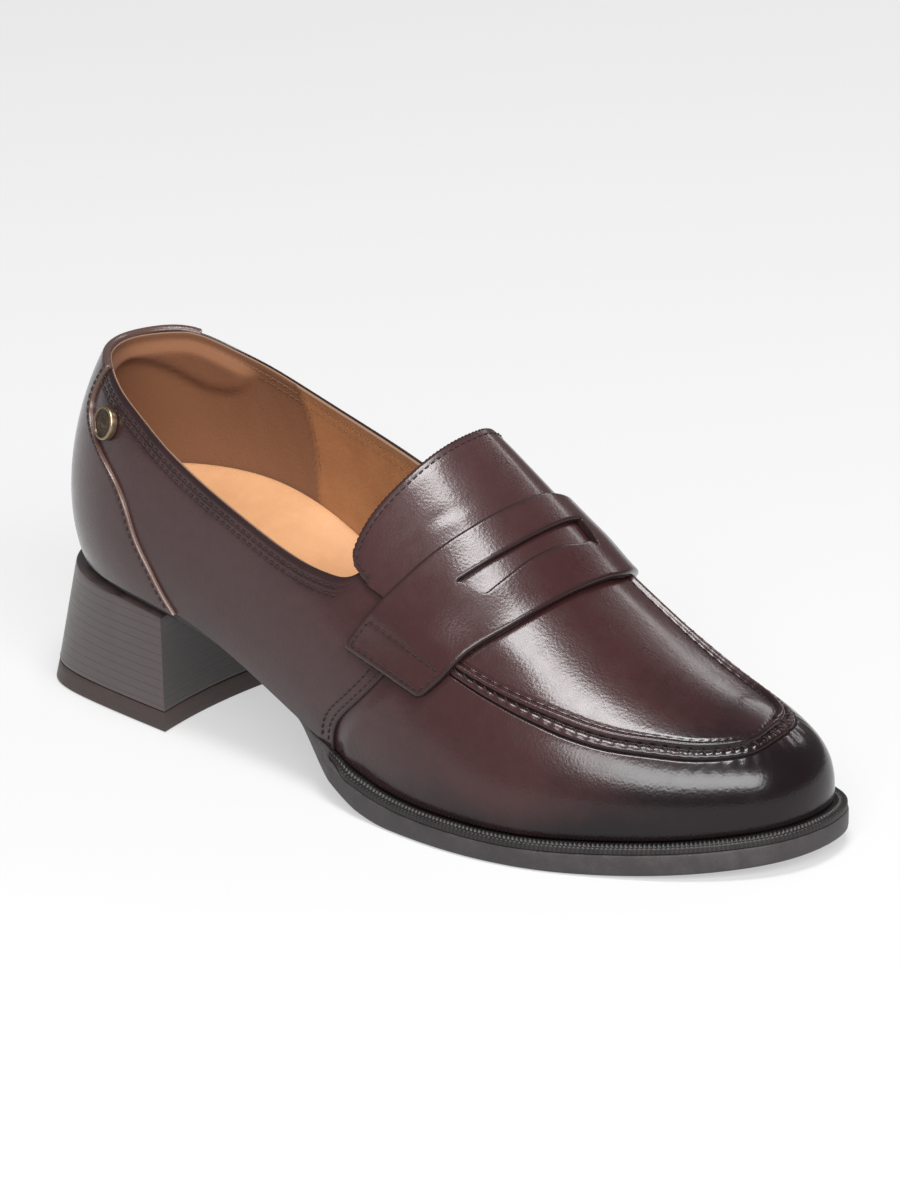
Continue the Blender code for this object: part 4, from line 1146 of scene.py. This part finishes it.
class Finish:
    """A node material with short calls that add nodes to it; sizes are in millimetres."""

    def __init__(self, name, **values):
        self.material = bpy.data.materials.new(name)
        self.material.use_nodes = True
        self.tree = self.material.node_tree
        self.shader = self.tree.nodes["Principled BSDF"]
        self.place = self.tree.nodes.new("ShaderNodeTexCoord").outputs["Object"]
        for key, value in values.items():
            self.shader.inputs[key.replace("_", " ")].default_value = value

    def add(self, kind, inputs, output=0, **settings):
        node = self.tree.nodes.new("ShaderNode" + kind)
        for key, value in settings.items():
            setattr(node, key, value)
        for key, value in inputs.items():
            self.put(node.inputs[key], value)
        return node.outputs[output]

    def put(self, socket, value):
        if isinstance(value, bpy.types.NodeSocket):
            self.tree.links.new(value, socket)
        else:
            socket.default_value = value

    def set(self, key, value):
        self.put(self.shader.inputs[key], value)

    def mark(self, name):
        return self.add("Attribute", {}, "Fac", attribute_name=name)

    def noise(self, size, detail=3.0, rough=0.5, place=None, warp=0.0):
        return self.add("TexNoise", {"Vector": place or self.place, "Scale": 1000 / size, "Detail": detail,
                                     "Roughness": rough, "Distortion": warp})

    def cells(self, size, feature="F1", place=None):
        return self.add("TexVoronoi", {"Vector": place or self.place, "Scale": 1000 / size}, feature=feature)

    def stretched(self, x, y, z):
        return self.add("Mapping", {"Vector": self.place, "Scale": (x, y, z)})

    def fit(self, value, low, high, to_low=0.0, to_high=1.0):
        return self.add("MapRange", {"Value": value, "From Min": low, "From Max": high, "To Min": to_low,
                                     "To Max": to_high}, interpolation_type="SMOOTHSTEP")

    def maths(self, operation, a, b=0.0):
        return self.add("Math", {0: a, 1: b}, operation=operation)

    def blend(self, share, a, b):
        first, second = ((*c, 1.0) if isinstance(c, tuple) else c for c in (a, b))
        return self.add("Mix", {0: share, 6: first, 7: second}, 2, data_type="RGBA")

    def done(self, colour, rough, normal):
        """The material with its three main inputs set."""
        for key, value in (("Base Color", colour), ("Roughness", rough), ("Normal", normal)):
            self.set(key, value)
        return self.material

    def bump(self, height, depth, normal=None):
        inputs = {"Height": height, "Distance": depth * MM, "Strength": 1.0}
        if normal is not None:
            inputs["Normal"] = normal
        return self.add("Bump", inputs)


# the upper's leather: plain, where it leans to red, and the near black of its burnish and of its painted
# shade
BROWN, RED, BURNISH_AND_SHADE = (0.040, 0.0175, 0.0180), (0.026, 0.0078, 0.0082), (0.005, 0.0026, 0.0034)


def leather_finish(name, edge, gloss=0.30):
    """Polished grain leather, darker where it is burnished and where painted shade lies, and coloured along
    its cut edges.
    """
    made = Finish(name, Coat_Weight=0.6, Coat_Roughness=0.17, Coat_IOR=1.33, Specular_IOR_Level=0.20)
    cloud = made.noise(26, 4, 0.6)
    mottle = made.noise(3.2, 4, 0.65)
    # the dark mark holds the polish and also painted shade: along the bottom of the wall and in the vamp's
    # seam grooves
    burnish_and_shade = made.maths("ADD", made.mark("dark"), made.fit(cloud, 0.35, 0.7, -0.12, 0.18))
    colour = made.blend(made.mark("red"), BROWN, RED)
    colour = made.blend(made.fit(mottle, 0.3, 0.75, 0.0, 0.35), colour, tuple(c * 0.62 for c in BROWN))
    colour = made.blend(made.fit(burnish_and_shade, 0.0, 1.0), colour, BURNISH_AND_SHADE)
    # the edge mark: dyed cut edges, painted shade in the vamp's seam grooves, and on the backstay a lighter
    # raw edge that is also a painted highlight
    colour = made.blend(made.maths("MULTIPLY", made.mark("edge"), 0.75), colour, edge)
    grain = made.cells(0.70, "SMOOTH_F1")
    fine = made.noise(0.32, 2, 0.6)
    wrinkle = made.noise(1.5, 4, 0.6, warp=0.4)
    rough = made.fit(made.noise(5.0, 4, 0.6), 0.25, 0.8, gloss - 0.03, gloss + 0.06)
    rough = made.maths("SUBTRACT", rough, made.maths("MULTIPLY", made.mark("dark"), 0.08))
    made.set("Coat Normal", made.bump(grain, 0.022, made.bump(wrinkle, 0.022)))
    normal = made.bump(fine, 0.010, made.bump(grain, 0.028, made.bump(wrinkle, 0.030)))
    return made.done(colour, rough, normal)


def lining_finish():
    """Tan lining leather; the heel part is darker and has a nap."""
    made = Finish("lining_tan", Specular_IOR_Level=0.2, Sheen_Weight=0.04, Sheen_Roughness=0.5)
    cloud = made.noise(14, 5, 0.6)
    pores = made.cells(0.55)
    colour = made.blend(made.fit(cloud, 0.3, 0.7), (0.24, 0.103, 0.042), (0.29, 0.128, 0.055))
    colour = made.blend(made.mark("back"), colour, (0.160, 0.070, 0.035))
    colour = made.blend(made.fit(pores, 0.0, 0.25, 0.35, 0.0), colour, (0.13, 0.062, 0.032))
    colour = made.blend(made.mark("rim"), colour, (0.17, 0.095, 0.058))
    return made.done(colour, made.fit(made.mark("back"), 0.0, 1.0, 0.55, 0.85),
                     made.bump(pores, 0.03, made.bump(made.noise(1.6, 5, 0.6), 0.10)))


def footbed_finish():
    """Light tan footbed leather with fine creases."""
    made = Finish("footbed_tan", Specular_IOR_Level=0.35)
    cloud = made.noise(20, 5, 0.6)
    colour = made.blend(made.fit(cloud, 0.3, 0.7), (0.39, 0.200, 0.095), (0.44, 0.230, 0.113))
    pores = made.cells(0.5)
    colour = made.blend(made.fit(pores, 0.0, 0.2, 0.25, 0.0), colour, (0.35, 0.16, 0.06))
    return made.done(colour, made.fit(made.noise(4, 3), 0.3, 0.7, 0.42, 0.6),
                     made.bump(pores, 0.02, made.bump(made.noise(2.4, 5, 0.6), 0.12)))


def thread_finish(name, colour, light):
    """Twisted waxed thread."""
    made = Finish(name, Specular_IOR_Level=0.2, Sheen_Weight=0.05)
    twist = made.noise(0.35, 2, 0.5)
    return made.done(made.blend(made.fit(twist, 0.35, 0.65), colour, light),
                     made.fit(twist, 0.3, 0.7, 0.6, 0.8), made.bump(twist, 0.05))


def rubber_finish(name, dark, light, shaded_bead_gaps=False):
    """Matt rubber with a fine moulded grain and a little dust; on the welt, painted shade between the beads.
    """
    made = Finish(name, Specular_IOR_Level=0.4)
    dust = made.noise(7, 6, 0.7)
    speck = made.noise(0.6, 3, 0.7)
    colour = made.blend(made.fit(dust, 0.35, 0.75), dark, light)
    colour = made.blend(made.fit(speck, 0.55, 0.8, 0.0, 0.5), colour, tuple(c * 1.6 for c in light))
    if shaded_bead_gaps:
        # painted shade in the gaps between the welt's beads
        colour = made.blend(made.mark("groove"), colour, tuple(c * 0.25 for c in dark))
    return made.done(colour, made.fit(dust, 0.3, 0.8, 0.42, 0.62),
                     made.bump(speck, 0.05, made.bump(made.noise(2.5, 4), 0.08)))


STACK_LAYER = 2.6               # thickness of the heel's layers


def stack_finish():
    """Heel of thin stained layers, the breast darker."""
    made = Finish("heel_layers", Specular_IOR_Level=0.4, Coat_Weight=0.25, Coat_Roughness=0.3)
    wave = made.maths("MULTIPLY", made.fit(made.noise(18, 3), 0.2, 0.8, -1.0, 1.0), 0.12)
    above_floor = made.maths("MULTIPLY", made.add("SeparateXYZ", {"Vector": made.place}, 2), 1000.0)
    height = made.maths("DIVIDE", made.maths("ADD", above_floor, wave), STACK_LAYER)
    layer = made.maths("FRACT", height)
    line = made.maths("MINIMUM", layer, made.maths("SUBTRACT", 1.0, layer))
    fibre = made.noise(1.0, 5, 0.7, made.stretched(0.16, 0.16, 2.2))
    colour = made.blend(made.fit(fibre, 0.3, 0.7), (0.044, 0.031, 0.030), (0.078, 0.058, 0.055))
    layer_place = made.add("CombineXYZ", {"Z": made.maths("FLOOR", height)})
    tone = made.cells(1.0, place=layer_place)
    colour = made.blend(made.fit(tone, 0.0, 0.0006, 0.0, 0.45), colour, (0.036, 0.026, 0.025))
    colour = made.blend(made.fit(line, 0.0, 0.12, 0.75, 0.0), colour, (0.022, 0.015, 0.014))
    facing = made.add("SeparateXYZ", {"Vector": made.add("NewGeometry", {}, "Normal")})
    colour = made.blend(made.fit(facing, 0.3, 0.8, 0.0, 0.75), colour, (0.012, 0.009, 0.009))
    return made.done(colour, made.fit(fibre, 0.3, 0.7, 0.34, 0.5),
                     made.bump(made.fit(line, 0.0, 0.12), 0.05, made.bump(fibre, 0.03)))


def brass_finish():
    """Aged brass: bright on the high rings, brown in the field between them."""
    made = Finish("brass_aged", Specular_IOR_Level=0.5)
    sunk, wear = made.mark("sunk"), made.noise(1.2, 5, 0.7)
    deep = made.maths("ADD", sunk, made.fit(wear, 0.3, 0.75, -0.3, 0.3))
    made.set("Metallic", made.fit(deep, 0.3, 1.0, 1.0, 0.75))
    colour = made.blend(made.fit(deep, 0.1, 0.9), (0.34, 0.25, 0.165), (0.055, 0.036, 0.024))
    return made.done(colour, made.fit(wear, 0.3, 0.7, 0.30, 0.48), made.bump(wear, 0.04))


def make_floor():
    """Pale studio floor that runs out of the picture on all sides."""
    made = Finish("studio_floor", Roughness=0.9, Specular_IOR_Level=0.0, Emission_Strength=0.49,
                  Emission_Color=(1.0, 1.0, 1.0, 1.0))
    made.set("Base Color", made.blend(made.noise(400, 2), (0.23, 0.23, 0.23), (0.24, 0.24, 0.24)))
    half, low = 6.0, -0.0002
    mesh = bpy.data.meshes.new("floor")
    corners = [(-half, -half, low), (half, -half, low), (half, half, low), (-half, half, low)]
    mesh.from_pydata(corners, [], [(0, 1, 2, 3)])
    mesh.materials.append(made.material)
    floor = bpy.data.objects.new("floor", mesh)
    bpy.context.scene.collection.objects.link(floor)


# softboxes in metres and watts: place, width and height, power
SOFTBOXES = {
    "overhead": ((0.58, -0.51, 2.95), (1.10, 0.90), 92),
    "front": ((1.38, -1.27, 1.30), (2.3, 0.90), 88),
    "rim": ((0.15, 1.62, 1.25), (1.1, 0.24), 5.0),
}
LIGHT_TARGET = (0.12, 0.0, 0.04)
SURROUNDINGS = 0.20


def make_softbox(name, place, size, power):
    """Rectangular studio light that faces the shoe."""
    light = bpy.data.lights.new(name, "AREA")
    light.shape = "RECTANGLE"
    light.size, light.size_y = size
    light.energy = power
    lamp = bpy.data.objects.new(name, light)
    lamp.location = place
    lamp.rotation_euler = (Vector(LIGHT_TARGET) - Vector(place)).to_track_quat("-Z", "Y").to_euler()
    bpy.context.scene.collection.objects.link(lamp)


def make_light():
    """Softboxes in even white surroundings."""
    world = bpy.data.worlds.new("studio")
    world.use_nodes = True
    background = world.node_tree.nodes["Background"]
    background.inputs["Color"].default_value = (1.0, 1.0, 1.0, 1.0)
    background.inputs["Strength"].default_value = SURROUNDINGS
    bpy.context.scene.world = world
    for name, values in SOFTBOXES.items():
        make_softbox(name, *values)
    bpy.context.scene.view_settings.view_transform = "Standard"


def make_camera():
    """Camera on the shoe's lateral side, at the photo's angle to it."""
    turn, lift, tilt = (math.radians(v) for v in CAMERA_TURN)
    back = Vector((math.sin(turn) * math.cos(lift), -math.cos(turn) * math.cos(lift), math.sin(lift)))
    right = Vector((math.cos(turn), math.sin(turn), 0))
    up = back.cross(right)
    right_rolled = right * math.cos(tilt) + up * math.sin(tilt)
    up_rolled = up * math.cos(tilt) - right * math.sin(tilt)
    place = Vector((CAMERA_TARGET - HEEL_REST) * MM) + back * (CAMERA_FAR * MM)
    lens = bpy.data.cameras.new("camera")
    lens.sensor_width = 36.0
    lens.lens = FOCAL_PX / max(FRAME_PX) * lens.sensor_width
    lens.shift_x = (FRAME_PX[0] / 2 - TARGET_PX[0]) / max(FRAME_PX)
    lens.shift_y = (TARGET_PX[1] - FRAME_PX[1] / 2) / max(FRAME_PX)
    lens.clip_start, lens.clip_end = 0.05, 50.0
    camera = bpy.data.objects.new("camera", lens)
    frame_axes = Matrix((right_rolled, up_rolled, back)).transposed().to_4x4()
    camera.matrix_world = Matrix.Translation(place) @ frame_axes
    bpy.context.scene.collection.objects.link(camera)
    bpy.context.scene.camera = camera


def main():
    """The finishes, the pieces and the studio."""
    leather = leather_finish("leather_oxblood", (0.012, 0.007, 0.007))
    # the backstay's lighter edge colour: its raw cut edge and a painted highlight on it
    counter = leather_finish("leather_backstay", (0.10, 0.062, 0.048))
    strap = leather_finish("leather_strap", (0.008, 0.005, 0.005), 0.28)
    lining = lining_finish()
    rubber = rubber_finish("rubber_sole", (0.027, 0.023, 0.024), (0.041, 0.036, 0.037))
    welt = rubber_finish("rubber_welt", (0.011, 0.009, 0.009), (0.021, 0.017, 0.016), shaded_bead_gaps=True)
    top_piece = rubber_finish("rubber_top_piece", (0.028, 0.016, 0.014), (0.045, 0.028, 0.024))
    dark_thread = thread_finish("thread_dark", (0.012, 0.008, 0.008), (0.030, 0.020, 0.018))
    brown_thread = thread_finish("thread_brown", (0.085, 0.042, 0.024), (0.13, 0.07, 0.042))
    make_quarter(leather)
    make_lining(lining)
    make_vamp(leather, lining)
    make_counter(counter)
    make_tongue(leather, lining)
    make_strap(strap)
    make_insole(footbed_finish())
    make_welt(welt)
    make_outsole(rubber)
    make_heel(stack_finish(), top_piece)
    make_badge(brass_finish())
    make_stitching(dark_thread)
    make_lining_stitching(brown_thread)
    make_apron_stitching(dark_thread)
    make_floor()
    make_light()
    make_camera()


main()
